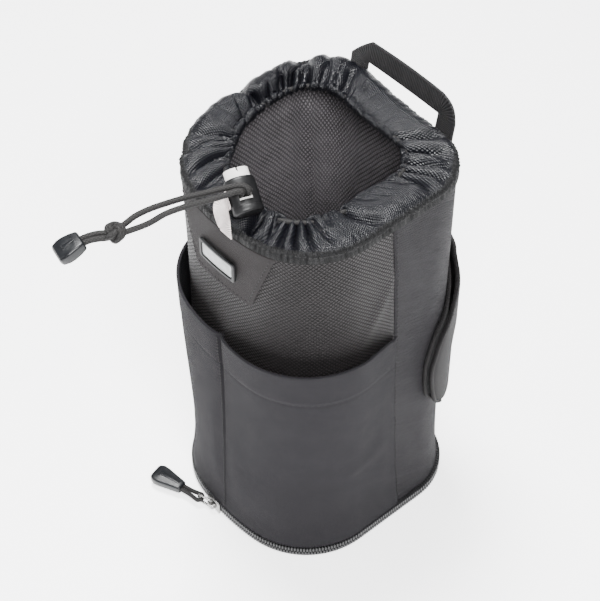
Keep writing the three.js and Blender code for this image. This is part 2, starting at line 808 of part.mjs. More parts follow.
function addCollar() {
  const rings = [];
  for (let i = 0; i < collarStations; i++) {
    const along = -halfLength + (2 * halfLength * (i + 1)) / collarStations;
    const frame = collarFrame(along);
    const loop = thicken(collarSection(along), collarThickness / 2);
    rings.push(loop.map((point) => collarPoint(frame, point.x, point.y)));
  }
  const exit = hemCentre(exitPlace);
  const halfCut = exitCutWidth / 2;
  const hole = boxBetween(
    [exit.x - halfCut, exit.y - exitCutDepth, exit.z - cordRadius],
    [exit.x + halfCut, exit.y + cordRadius + seatGap, exit.z + exitCutDepth],
  );
  add("collar", cut(loft(rings, true), hole), nylon);
}

function hemCentre(along) {
  const frame = collarFrame(along);
  return collarPoint(frame, frame.reach, frame.hem);
}

// Cord lock: elliptical barrel and plunger along one slanted axis
const lockAxis = new THREE.Vector3(...lockAxisShares).normalize();
const lockAcross = new THREE.Vector3(-lockAxis.y, lockAxis.x, 0).normalize();
const lockFace = lockAxis.clone().cross(lockAcross);
const lockPlace = new THREE.Vector3(lockX, lockInset - wallFront, wallTop + lockRise);
const lockFrame = new THREE.Matrix4().makeBasis(lockAcross, lockFace, lockAxis).setPosition(lockPlace);

function lockPoint(across, face, axial) {
  return new THREE.Vector3(across, face, axial).applyMatrix4(lockFrame);
}

function ellipse(width, depth) {
  const shape = new THREE.Shape();
  shape.absellipse(0, 0, width / 2, depth / 2, 0, 2 * Math.PI);
  return shape;
}

function ellipticBar(width, depth, from, to) {
  const options = { depth: to - from, bevelEnabled: false, curveSegments: roundSides };
  return new THREE.ExtrudeGeometry(ellipse(width, depth), options).translate(0, 0, from);
}

function addLock() {
  const half = barrelLength / 2;
  const boreWidth = barrelWidth - 2 * barrelWall;
  const boreDepth = barrelDepth - 2 * barrelWall;
  const floor = half - barrelFloor;
  const barrel = ellipticBar(barrelWidth, barrelDepth, -half, half);
  const bore = ellipticBar(boreWidth, boreDepth, -half - cutOverrun, floor);
  const opening = boxBetween(
    [-windowHalfWidth, -barrelDepth, -windowHalfLength],
    [windowHalfWidth, barrelDepth, windowHalfLength],
  );
  add("lock_barrel", cut(barrel, bore, opening).applyMatrix4(lockFrame), blackPlastic);

  const looseWidth = boreWidth - 2 * seatGap;
  const looseDepth = boreDepth - 2 * seatGap;
  const plunger = ellipticBar(looseWidth, looseDepth, -half - plungerOut, stemReach);
  const slot = boxBetween(
    [-windowHalfWidth, -barrelDepth, -cordRadius - seatGap - plungerTravel],
    [windowHalfWidth, barrelDepth, cordRadius + seatGap],
  );
  add("lock_plunger", cut(plunger, slot).applyMatrix4(lockFrame), whitePlastic);

  const springFrom = stemReach + seatGap;
  const springTo = floor - seatGap;
  const spring = new THREE.LatheGeometry(
    [
      new THREE.Vector2(springHalfWidth - springWall, springFrom),
      new THREE.Vector2(springHalfWidth, springFrom),
      new THREE.Vector2(springHalfWidth, springTo),
      new THREE.Vector2(springHalfWidth - springWall, springTo),
      new THREE.Vector2(springHalfWidth - springWall, springFrom),
    ],
    2 * cordSides,
  );
  spring.rotateX(Math.PI / 2);
  add("lock_spring", spring.applyMatrix4(lockFrame), silver);
}

// Drawcord: up out of the lock's foot, once round inside the hem and back
function addDrawcord() {
  const top = barrelDepth / 2 + cordRadius;
  const foot = -barrelDepth / 2 - cordRadius;
  const points = [];
  const rise = (side) => [
    lockPoint(side * strandSpread, top, 0),
    lockPoint(side * strandSpread, 0, 0),
    lockPoint(side * strandSpread, foot, 0),
    hemCentre(exitPlace + (side * exitSpread) / 2).add(new THREE.Vector3(0, -exitLean, exitRise)),
  ];
  points.push(...rise(1));
  const start = exitPlace + exitSpread;
  const end = exitPlace - exitSpread + 2 * halfLength;
  const count = collarStations / 2;
  for (let i = 0; i <= count; i++) {
    const along = THREE.MathUtils.lerp(start, end, i / count);
    points.push(hemCentre(along > halfLength ? along - 2 * halfLength : along));
  }
  points.push(...rise(-1).reverse());
  const path = new THREE.CatmullRomCurve3(points);
  add("drawcord", tube(path, cordRadius, drawcordSteps), cordCloth);
}

// White tape from the collar seam up to the side of the lock
function addTab() {
  const rootAlong = exitPlace - exitSpread / 2;
  const edge = barrelWidth / 2 + seatGap + tabThickness / 2;
  const behindPatch = patchSeat + patchThickness + seatGap + tabThickness;
  const stops = [
    wallPoint(rootAlong, behindPatch, wallTop - tabDrop),
    wallPoint(rootAlong, behindPatch, wallTop + collarSeat + tabDrop),
    lockPoint(-edge - tabReach, -barrelDepth / 2, 0),
    lockPoint(-edge, -tabReach, 0),
    lockPoint(-edge, tabDrop, 0),
  ];
  const path = new THREE.CatmullRomCurve3(stops);
  const along = new THREE.Vector3(1, 0, 0);
  const rings = [];
  for (let i = 0; i <= tabSteps; i++) {
    const share = i / tabSteps;
    const middle = path.getPoint(share);
    const wide = along.clone().lerp(lockAxis, share).normalize();
    const run = path.getTangent(share);
    const thick = run.clone().cross(wide).normalize();
    const corner = (w, t) =>
      middle.clone().addScaledVector(wide, (w * tabWidth) / 2).addScaledVector(thick, (t * tabThickness) / 2);
    rings.push([corner(-1, 1), corner(1, 1), corner(1, -1), corner(-1, -1)]);
  }
  add("lock_tab", loft(rings, false), whiteTape);
}

// Free tail: two strands, a knot, the short loop and the moulded cord end
function curveThrough(points) {
  return new THREE.CatmullRomCurve3(points.map((point) => new THREE.Vector3(...point)));
}

function addTail() {
  const outOfLock = (side) => {
    const face = barrelDepth / 2 + cordRadius + seatGap;
    return [face, face + cordRadius].map((height) => lockPoint(side * strandSpread, height, 0).toArray());
  };
  const strandA = [...outOfLock(1), ...strandAPoints];
  const strandB = [...outOfLock(-1), ...strandBPoints];
  add("tail_strand_a", tube(curveThrough(strandA), cordRadius, tailSteps), cordCloth);
  add("tail_strand_b", tube(curveThrough(strandB), cordRadius, tailSteps), cordCloth);
  const knot = new THREE.SphereGeometry(knotRadius, roundSides, knotRings).translate(...knotPlace);
  const sleeve = cordRadius + seatGap;
  const past = (points, fromEnd) => {
    const list = points.map((point) => new THREE.Vector3(...point));
    const end = fromEnd ? list[0] : list[list.length - 1];
    const next = fromEnd ? list[1] : list[list.length - 2];
    const away = end.clone().sub(next).normalize();
    return new THREE.LineCurve3(next, end.clone().addScaledVector(away, seatGap));
  };
  const holes = [
    tube(past(strandAPoints, false), sleeve, 1),
    tube(past(strandBPoints, false), sleeve, 1),
    tube(past(loopPoints[0], true), sleeve, 1),
    tube(past(loopPoints[1], true), sleeve, 1),
  ];
  add("tail_knot", cut(knot, ...holes), cordCloth);
  loopPoints.forEach((points, i) => {
    add(`tail_loop_${i + 1}`, tube(curveThrough(points), cordRadius, loopSteps), cordCloth);
  });
  const from = new THREE.Vector3(...cordEndPlace);
  const lie = new THREE.Vector3(...cordEndTip).sub(from).normalize();
  const across = new THREE.Vector3(-lie.y, lie.x, 0).normalize();
  const up = lie.clone().cross(across);
  const frame = new THREE.Matrix4().makeBasis(across, up, lie).setPosition(from);
  const rings = cordEndLengthShares.map((share, i) => {
    const wide = THREE.MathUtils.lerp(cordEndNeck, cordEndWidth, cordEndWidthShares[i]) / 2;
    const high = (cordEndHeight * cordEndHeightShares[i]) / 2;
    const ring = [];
    for (let j = 0; j < endSides; j++) {
      const turn = (Math.PI * (2 * j + 1)) / endSides;
      ring.push(new THREE.Vector3(wide * Math.cos(turn), high * Math.sin(turn), share * cordEndLength));
    }
    return ring;
  });
  const body = loft(rings, false).applyMatrix4(frame);
  const sockets = loopPoints.map((points) => tube(past(points, false), sleeve, 1));
  add("cord_end", cut(body, ...sockets), greyPlastic);
}

// Handle: flat webbing with mitred corners, hinged where its ends are sewn down
function addHandle() {
  const halfWindow = windowWidth / 2;
  const halfOuter = halfWindow + strapWidth;
  const legTop = windowRise;
  const top = windowRise + strapWidth;
  const shape = new THREE.Shape();
  const outline = [
    [-halfOuter, 0],
    [-halfWindow, 0],
    [-halfWindow, legTop],
    [halfWindow, legTop],
    [halfWindow, 0],
    [halfOuter, 0],
    [halfOuter, legTop],
    [halfWindow, top],
    [-halfWindow, top],
    [-halfOuter, legTop],
  ];
  shape.setFromPoints(outline.map(([x, z]) => new THREE.Vector2(x, z)));
  const strap = new THREE.ExtrudeGeometry(shape, { depth: strapThickness, bevelEnabled: false });
  strap.translate(0, 0, -strapThickness / 2);
  strap.rotateX(Math.PI / 2);
  strap.rotateX(-handleLeanDeg * toRadians);
  const hingeY = wallBack + seatGap + strapThickness / 2;
  const hingeZ = wallTop + handleLift;
  strap.translate(handleShift, hingeY, hingeZ);
  add("handle_strap", strap, webbing);
  const anchorTop = hingeZ - strapThickness / 2 - seatGap;
  for (const [name, side] of [["handle_anchor_left", -1], ["handle_anchor_right", 1]]) {
    const middle = handleShift + side * (halfWindow + strapWidth / 2);
    const anchor = boxBetween(
      [middle - strapWidth / 2, wallBack + seatGap, anchorTop - anchorHeight],
      [middle + strapWidth / 2, wallBack + seatGap + strapThickness, anchorTop],
    );
    add(name, anchor, webbing);
  }
}

// Belt carrier: a fixed pad and an outer flap whose wings wrap round the back corners
function backDistance(along) {
  return halfLength - Math.abs(along);
}

// How far round from the back centre a wing of this depth needs its sheet
function wingReach(wing) {
  const edgeY = wallBack - wing - 2 * cutOverrun;
  return backX + backCornerLength + (backY - edgeY);
}

function wrapSheet(reach, levels, low, high, inner, thickness) {
  return wallSheet({
    stations: backStations(() => halfLength - reach),
    shares: levels,
    low: () => low,
    high: () => high,
    outer: (along, z) => inner(along, z) + thickness,
    inner,
  });
}

// Keeps what lies behind the front edge of the wings, drawn in the side view
function trimWings(sheet, edgeShares, depth, low, high) {
  const edge = edgeShares.map(([share, level]) => {
    return new THREE.Vector2(wallBack - share * depth, THREE.MathUtils.lerp(low, high, level));
  });
  const line = new THREE.SplineCurve(edge).getPoints(2 * edge.length);
  const clear = wallBack + tunnelStand + padThickness + flapThickness + cutOverrun;
  const shape = new THREE.Shape([
    new THREE.Vector2(clear, low - cutOverrun),
    new THREE.Vector2(line[0].x, low - cutOverrun),
    ...line,
    new THREE.Vector2(line[line.length - 1].x, high + cutOverrun),
    new THREE.Vector2(clear, high + cutOverrun),
  ]);
  const reach = wallHalfWidth + tunnelStand + cutOverrun;
  const keep = new THREE.ExtrudeGeometry(shape, { depth: 2 * reach, bevelEnabled: false });
  keep.rotateX(Math.PI / 2);
  keep.rotateZ(Math.PI / 2);
  keep.translate(-reach, 0, 0);
  return toGeometry(toSolid(sheet).intersect(toSolid(keep)));
}

function flapInner(along, z) {
  const { smoothstep } = THREE.MathUtils;
  const centre = 1 - smoothstep(backDistance(along), loopHalfWidth, loopHalfWidth + flapWing);
  const tunnel = smoothstep(z, tunnelLow, tunnelLow + tunnelRise) * (1 - smoothstep(z, tunnelHigh, padTop));
  const middle = THREE.MathUtils.lerp(closureStand, tunnelStand, tunnel);
  const stand = THREE.MathUtils.lerp(wingStand, middle, centre);
  const sewn = smoothstep(z, padTop, flapHinge);
  return seatGap + (1 - sewn) * (padThickness + stand);
}

function addBeltCarrier() {
  const padFace = seatGap + padThickness;
  const pad = wrapSheet(wingReach(padWing), [0, 1], padBottom, padTop, () => seatGap, padThickness);
  add("belt_pad", trimWings(pad, padEdgeShares, padWing, padBottom, padTop), hookTape);
  const loopLow = padBottom + loopInset;
  const band = (inner) => {
    return wrapSheet(loopHalfWidth, [0, 1], loopLow, loopLow + loopHeight, () => inner, loopThickness);
  };
  add("loop_pad", band(padFace + seatGap), hookTape);
  add("hook_pad", band(padFace + 2 * seatGap + loopThickness), hookTape);
  const flapTop = flapHinge - seatGap;
  const reach = wingReach(flapWing);
  const flap = wrapSheet(reach, flapLevelShares, flapBottom, flapTop, flapInner, flapThickness);
  add("belt_flap", trimWings(flap, flapEdgeShares, flapWing, flapBottom, flapTop), webbing);
  const seamLow = flapHinge + seatGap;
  const seamReach = backX + loopInset;
  const seam = wrapSheet(seamReach, [0, 1], seamLow, seamLow + flapSeamHeight, () => seatGap, flapThickness);
  add("belt_flap_seam", seam, webbing);
}

addWall();
addBase();
addSlider();
addPocket();
addBadge();
addCollar();
addLock();
addDrawcord();
addTab();
addTail();
addHandle();
addBeltCarrier();

export default group;
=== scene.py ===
"""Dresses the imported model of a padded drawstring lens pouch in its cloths, cords and mouldings."""

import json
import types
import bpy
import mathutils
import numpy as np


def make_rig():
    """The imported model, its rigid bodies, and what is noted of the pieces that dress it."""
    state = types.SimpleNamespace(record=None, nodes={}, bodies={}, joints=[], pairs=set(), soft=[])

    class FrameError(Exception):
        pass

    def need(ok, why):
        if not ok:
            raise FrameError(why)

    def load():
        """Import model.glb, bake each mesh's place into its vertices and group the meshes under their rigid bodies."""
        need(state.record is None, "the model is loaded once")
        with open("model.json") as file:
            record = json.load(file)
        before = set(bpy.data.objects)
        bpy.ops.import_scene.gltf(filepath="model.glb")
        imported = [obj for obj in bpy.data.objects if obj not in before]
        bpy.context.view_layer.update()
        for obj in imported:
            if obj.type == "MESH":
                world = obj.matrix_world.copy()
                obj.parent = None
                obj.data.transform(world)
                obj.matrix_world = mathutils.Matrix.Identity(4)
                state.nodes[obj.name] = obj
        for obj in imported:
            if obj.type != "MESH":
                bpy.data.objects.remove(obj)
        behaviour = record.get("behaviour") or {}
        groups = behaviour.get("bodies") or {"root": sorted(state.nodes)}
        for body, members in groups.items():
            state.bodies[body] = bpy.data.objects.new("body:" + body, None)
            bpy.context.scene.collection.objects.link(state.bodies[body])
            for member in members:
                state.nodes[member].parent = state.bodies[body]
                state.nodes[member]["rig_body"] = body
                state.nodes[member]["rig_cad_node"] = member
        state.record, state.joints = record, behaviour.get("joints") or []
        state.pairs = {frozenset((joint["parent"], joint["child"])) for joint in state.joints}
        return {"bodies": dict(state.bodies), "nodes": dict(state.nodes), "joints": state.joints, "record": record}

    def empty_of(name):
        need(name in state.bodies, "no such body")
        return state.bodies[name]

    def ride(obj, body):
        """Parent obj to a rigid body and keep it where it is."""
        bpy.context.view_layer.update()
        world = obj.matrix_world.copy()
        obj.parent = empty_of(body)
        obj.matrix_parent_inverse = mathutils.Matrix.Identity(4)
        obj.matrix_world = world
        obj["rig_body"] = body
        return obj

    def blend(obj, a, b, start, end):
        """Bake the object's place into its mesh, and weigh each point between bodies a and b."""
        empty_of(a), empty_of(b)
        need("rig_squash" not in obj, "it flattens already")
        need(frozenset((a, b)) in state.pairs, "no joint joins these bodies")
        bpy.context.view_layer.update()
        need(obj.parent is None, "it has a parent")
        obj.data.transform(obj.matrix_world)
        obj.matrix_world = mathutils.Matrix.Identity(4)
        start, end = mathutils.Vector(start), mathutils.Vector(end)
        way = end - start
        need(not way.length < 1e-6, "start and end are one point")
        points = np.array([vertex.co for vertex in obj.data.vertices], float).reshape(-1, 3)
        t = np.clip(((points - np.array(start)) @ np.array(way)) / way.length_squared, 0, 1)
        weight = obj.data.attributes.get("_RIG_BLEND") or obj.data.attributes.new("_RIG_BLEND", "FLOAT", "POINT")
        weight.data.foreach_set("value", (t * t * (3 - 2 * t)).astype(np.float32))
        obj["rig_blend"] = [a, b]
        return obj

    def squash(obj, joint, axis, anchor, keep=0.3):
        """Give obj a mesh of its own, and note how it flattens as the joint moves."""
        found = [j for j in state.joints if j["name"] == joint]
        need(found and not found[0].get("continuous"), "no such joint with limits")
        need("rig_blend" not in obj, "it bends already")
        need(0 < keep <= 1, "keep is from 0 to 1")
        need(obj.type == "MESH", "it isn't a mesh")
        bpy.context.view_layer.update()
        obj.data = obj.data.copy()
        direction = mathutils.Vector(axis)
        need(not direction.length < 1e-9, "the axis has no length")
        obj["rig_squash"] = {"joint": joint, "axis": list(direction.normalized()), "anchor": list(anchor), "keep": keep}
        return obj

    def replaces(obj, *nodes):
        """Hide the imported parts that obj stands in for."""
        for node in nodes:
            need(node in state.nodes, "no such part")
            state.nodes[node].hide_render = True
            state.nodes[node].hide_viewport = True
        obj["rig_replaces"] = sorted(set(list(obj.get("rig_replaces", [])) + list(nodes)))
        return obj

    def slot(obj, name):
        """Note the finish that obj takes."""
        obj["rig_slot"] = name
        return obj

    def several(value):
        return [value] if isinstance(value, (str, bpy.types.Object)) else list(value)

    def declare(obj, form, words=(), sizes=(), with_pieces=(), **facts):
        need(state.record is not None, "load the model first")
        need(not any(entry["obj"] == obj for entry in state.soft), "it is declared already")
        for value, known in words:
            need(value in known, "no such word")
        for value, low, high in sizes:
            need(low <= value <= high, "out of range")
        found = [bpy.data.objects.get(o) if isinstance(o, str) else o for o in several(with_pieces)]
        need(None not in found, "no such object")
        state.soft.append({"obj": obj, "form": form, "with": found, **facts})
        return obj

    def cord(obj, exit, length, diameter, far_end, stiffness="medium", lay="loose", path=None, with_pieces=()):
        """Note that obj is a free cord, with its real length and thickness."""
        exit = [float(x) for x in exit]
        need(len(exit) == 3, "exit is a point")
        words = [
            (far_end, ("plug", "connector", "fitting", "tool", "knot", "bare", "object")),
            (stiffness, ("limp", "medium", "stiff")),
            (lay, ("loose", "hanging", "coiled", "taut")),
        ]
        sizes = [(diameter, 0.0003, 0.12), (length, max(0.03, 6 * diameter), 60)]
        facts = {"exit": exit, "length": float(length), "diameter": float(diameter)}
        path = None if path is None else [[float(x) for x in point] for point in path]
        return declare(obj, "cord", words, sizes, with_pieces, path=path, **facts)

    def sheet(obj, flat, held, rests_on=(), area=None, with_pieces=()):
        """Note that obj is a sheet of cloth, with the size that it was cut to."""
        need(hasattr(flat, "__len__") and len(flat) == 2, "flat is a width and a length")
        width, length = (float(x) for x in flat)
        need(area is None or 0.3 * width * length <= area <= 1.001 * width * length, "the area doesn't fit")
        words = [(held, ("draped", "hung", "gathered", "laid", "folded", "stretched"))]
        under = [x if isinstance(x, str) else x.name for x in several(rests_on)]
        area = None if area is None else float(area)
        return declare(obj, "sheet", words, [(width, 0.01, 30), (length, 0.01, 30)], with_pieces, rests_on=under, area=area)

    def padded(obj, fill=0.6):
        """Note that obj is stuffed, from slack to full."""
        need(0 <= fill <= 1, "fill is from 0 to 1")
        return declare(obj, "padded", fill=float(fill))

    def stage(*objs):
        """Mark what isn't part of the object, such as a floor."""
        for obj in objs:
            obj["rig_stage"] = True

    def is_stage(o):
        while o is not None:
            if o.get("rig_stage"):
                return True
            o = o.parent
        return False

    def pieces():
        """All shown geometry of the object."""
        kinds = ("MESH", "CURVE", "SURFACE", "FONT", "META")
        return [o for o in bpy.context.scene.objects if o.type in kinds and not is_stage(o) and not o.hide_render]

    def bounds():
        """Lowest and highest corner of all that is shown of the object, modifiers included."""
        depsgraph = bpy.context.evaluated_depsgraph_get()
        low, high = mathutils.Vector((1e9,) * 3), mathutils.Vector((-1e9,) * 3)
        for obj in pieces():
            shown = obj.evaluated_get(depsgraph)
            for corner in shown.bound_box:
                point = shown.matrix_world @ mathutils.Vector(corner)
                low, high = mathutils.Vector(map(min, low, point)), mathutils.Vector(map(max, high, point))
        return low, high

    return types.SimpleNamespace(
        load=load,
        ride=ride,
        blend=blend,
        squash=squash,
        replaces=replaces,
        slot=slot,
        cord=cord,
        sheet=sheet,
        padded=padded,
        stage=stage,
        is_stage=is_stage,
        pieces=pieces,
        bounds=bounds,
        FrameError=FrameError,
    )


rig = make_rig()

bl_info = {
    "name": "Lens Pouch",
    "version": (1, 0, 0),
    "blender": (4, 5, 0),
    "location": "View3D > Sidebar > Pouch",
    "description": "Builds the cloths, cords and fittings of a padded lens pouch over its packed model",
    "category": "Object",
}

import json
import math

import bmesh
import bpy
import numpy as np
from bpy.props import FloatProperty, FloatVectorProperty, IntProperty, PointerProperty
from mathutils import Matrix, Vector

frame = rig.load()
SIZE_FILE = "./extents.json"
GAP = 0.0003
LINING_FACE = 0.0062
SLEEVE_LOW = 0.0015
SLEEVE_TOP = 0.015
HANDLE_MIDDLE = -0.005
HANDLE_OUT = 0.0622
SIDES = ((1, "right"), (-1, "left"))


def length(name, description, default):
    """A size in metres."""
    return FloatProperty(name=name, description=description, default=default, unit="LENGTH", precision=5)


def colour(name, description, default):
    """A linear colour."""
    return FloatVectorProperty(name=name, description=description, default=default, size=3, subtype="COLOR")


def angle(name, description, degrees):
    """An angle, given in degrees."""
    return FloatProperty(name=name, description=description, default=math.radians(degrees), subtype="ANGLE")


def power(name, description, default):
    """A light's power in watts."""
    return FloatProperty(name=name, description=description, default=default, unit="POWER")


class PouchSizes(bpy.types.PropertyGroup):
    """Real sizes of the pouch."""

    half_width: length("Half width", "Half of the wall's width at the top", 0.0585)
    wall_front: length("Front depth", "From the origin to the front of the wall", 0.063)
    wall_back: length("Back depth", "From the origin to the flat back", 0.061)
    front_radius: length("Front radius", "Curve of the front", 0.14)
    corner_radius: length("Corner radius", "Curve between front and side", 0.043)
    back_radius: length("Back radius", "Curve between side and back", 0.0325)
    wall_low: length("Wall foot", "Height of the wall's lower edge", 0.0086)
    wall_top: length("Wall top", "Height of the padded wall", 0.243)
    foot_flare: length("Foot flare", "How far the foot spreads", 0.0032)
    flare_fade: length("Flare fade", "Height over which the flare fades", 0.022)
    seam_low_y: length("Seam foot", "Depth of the side seam at the foot", 0.012)
    seam_top_y: length("Seam top", "Depth of the side seam at the top", -0.0005)
    shell: length("Shell cloth", "Thickness of the outer cloth", 0.0012)
    foam: length("Foam", "Thickness of the wall's foam", 0.0036)
    lining: length("Lining", "Thickness of the lining", 0.0008)
    relief: length("Relief", "Unevenness of the padded wall", 0.0007)
    weave_pitch: length("Embossed pitch", "Width of one raised lozenge of the shell weave", 0.0026)
    plain_pitch: length("Plain weave pitch", "Two threads of the plain cloths", 0.0009)
    pocket_line: length("Pocket line", "Height of the pocket edge where it is pinned", 0.1615)
    pocket_cloth: length("Pocket cloth", "Thickness of the stretch cloth", 0.0014)
    pocket_hem: length("Pocket hem", "Height of the doubled hem", 0.0245)
    patch_height: length("Patch height", "Height of the smooth patch", 0.0435)
    badge_half: length("Badge half width", "Half of the badge frame's width", 0.0134)
    badge_tall: length("Badge half height", "Half of the badge frame's height", 0.0063)
    badge_drop: length("Badge drop", "From the rim down to the badge's middle", 0.0243)
    stitch: length("Stitch", "Length of one stitch", 0.0016)
    stitch_pitch: length("Stitch pitch", "From one stitch to the next", 0.0027)
    thread: length("Thread", "Radius of the sewing thread", 0.00034)
    cord_radius: length("Cord radius", "Radius of the drawcord inside the hem", 0.0013)
    tail_radius: length("Tail radius", "Radius of the two free strands", 0.00155)
    tooth_pitch: length("Tooth pitch", "From one zip tooth to the next", 0.0016)
    strap_width: length("Strap width", "Width of the webbing", 0.0127)
    strap_thick: length("Strap thickness", "Thickness of the webbing", 0.0018)
    gather_depth: length("Gather depth", "Depth that the collar's fine creases are shares of", 0.0034)
    gathers: IntProperty(
        name="Gathers", description="A third of the number of fine creases", default=30, min=8, max=60
    )


class PouchColours(bpy.types.PropertyGroup):
    """Colours of the pouch's cloths and fittings."""

    shell: colour("Shell", "Embossed shell cloth", (0.0128, 0.0111, 0.0116))
    twill: colour("Sides", "Plain side cloth", (0.0178, 0.0166, 0.0188))
    stretch: colour("Pocket", "Stretch cloth", (0.0124, 0.0116, 0.0136))
    patch: colour("Patch", "Smooth patch cloth", (0.0186, 0.0166, 0.0170))
    # The lining's colour is set far lighter than the shell's: painted light that stands in for light reaching down into
    # the mouth
    lining: colour("Lining", "Embossed lining", (0.1120, 0.1040, 0.1110))
    nylon: colour("Collar", "Thin collar nylon", (0.0030, 0.0031, 0.0045))
    binding: colour("Binding", "Rim tape", (0.0080, 0.0066, 0.0066))
    foam: colour("Foam", "Closed-cell foam", (0.0100, 0.0100, 0.0110))
    webbing: colour("Webbing", "Handle webbing", (0.0105, 0.0101, 0.0108))
    flap: colour("Belt flap", "Outer cloth of the belt flap", (0.0068, 0.0060, 0.0064))
    pile: colour("Pile", "Brushed black cloth", (0.0045, 0.0045, 0.0050))
    cord: colour("Cord", "Braided cord", (0.0088, 0.0083, 0.0082))
    thread: colour("Thread", "Sewing thread", (0.0014, 0.0014, 0.0017))
    tape: colour("Zip tape", "Knitted zip tape", (0.0075, 0.0074, 0.0080))
    teeth: colour("Teeth", "Zip teeth", (0.0125, 0.0126, 0.0135))
    metal: colour("Metal", "Plated zinc", (0.27, 0.265, 0.26))
    plastic: colour("Black plastic", "Black moulding", (0.0030, 0.0030, 0.0034))
    grip: colour("Grip", "Grey moulding", (0.0046, 0.0051, 0.0062))
    white: colour("White plastic", "White moulding", (0.50, 0.485, 0.475))
    ribbon: colour("White tape", "Woven white tape", (0.50, 0.45, 0.44))
    rubber: colour("Rubber", "Badge frame", (0.0016, 0.0018, 0.0023))
    foil: colour("Foil", "Badge plate", (0.28, 0.29, 0.29))


class PouchStage(bpy.types.PropertyGroup):
    """Camera, floor and lights."""

    turn: angle("Turn", "Camera's turn round the pouch", 48.9)
    rise: angle("Rise", "Camera's height as an angle", 47.9)
    roll: angle("Roll", "Camera's roll", 0.17)
    distance: length("Distance", "From the camera to its aim", 0.977)
    lens: FloatProperty(
        name="Lens", description="Focal length on a 36 mm frame", default=105.85, unit="CAMERA"
    )
    aim: FloatVectorProperty(
        name="Aim", description="Point looked at", default=(-0.0116, -0.0003, 0.1318), size=3, unit="LENGTH"
    )
    floor: colour("Floor", "Floor colour", (0.93, 0.93, 0.94))
    glow: FloatProperty(name="Floor glow", description="Light that the lit table gives off", default=1.9)
    key: power("Key light", "Power of the main softbox", 40.0)
    top: power("Top light", "Power of the overhead softbox", 62.0)
    fill: power("Fill light", "Power of the side softbox", 8.0)
    world: FloatProperty(name="Surroundings", description="Strength of the white surroundings", default=0.25)


def sizes():
    return bpy.context.scene.pouch_sizes


def colours():
    return bpy.context.scene.pouch_colours


def ease(value):
    """A smooth step from 0 to 1."""
    share = np.clip(value, 0.0, 1.0)
    return share * share * (3 - 2 * share)


def mound(distance, spread):
    """A soft peak of 1 where the distance is none."""
    return np.exp(-((distance / spread) ** 2))


def steady(value):
    """The same value at every place of a wall sheet."""
    return lambda *place: value + 0 * place[-1]


def unit(vectors):
    """Vectors brought to a length of one."""
    return vectors / np.linalg.norm(vectors, axis=-1, keepdims=True)


def lengths(line):
    """The length run at each point of a line."""
    return np.concatenate([[0], np.cumsum(np.linalg.norm(np.diff(line, axis=0), axis=1))])


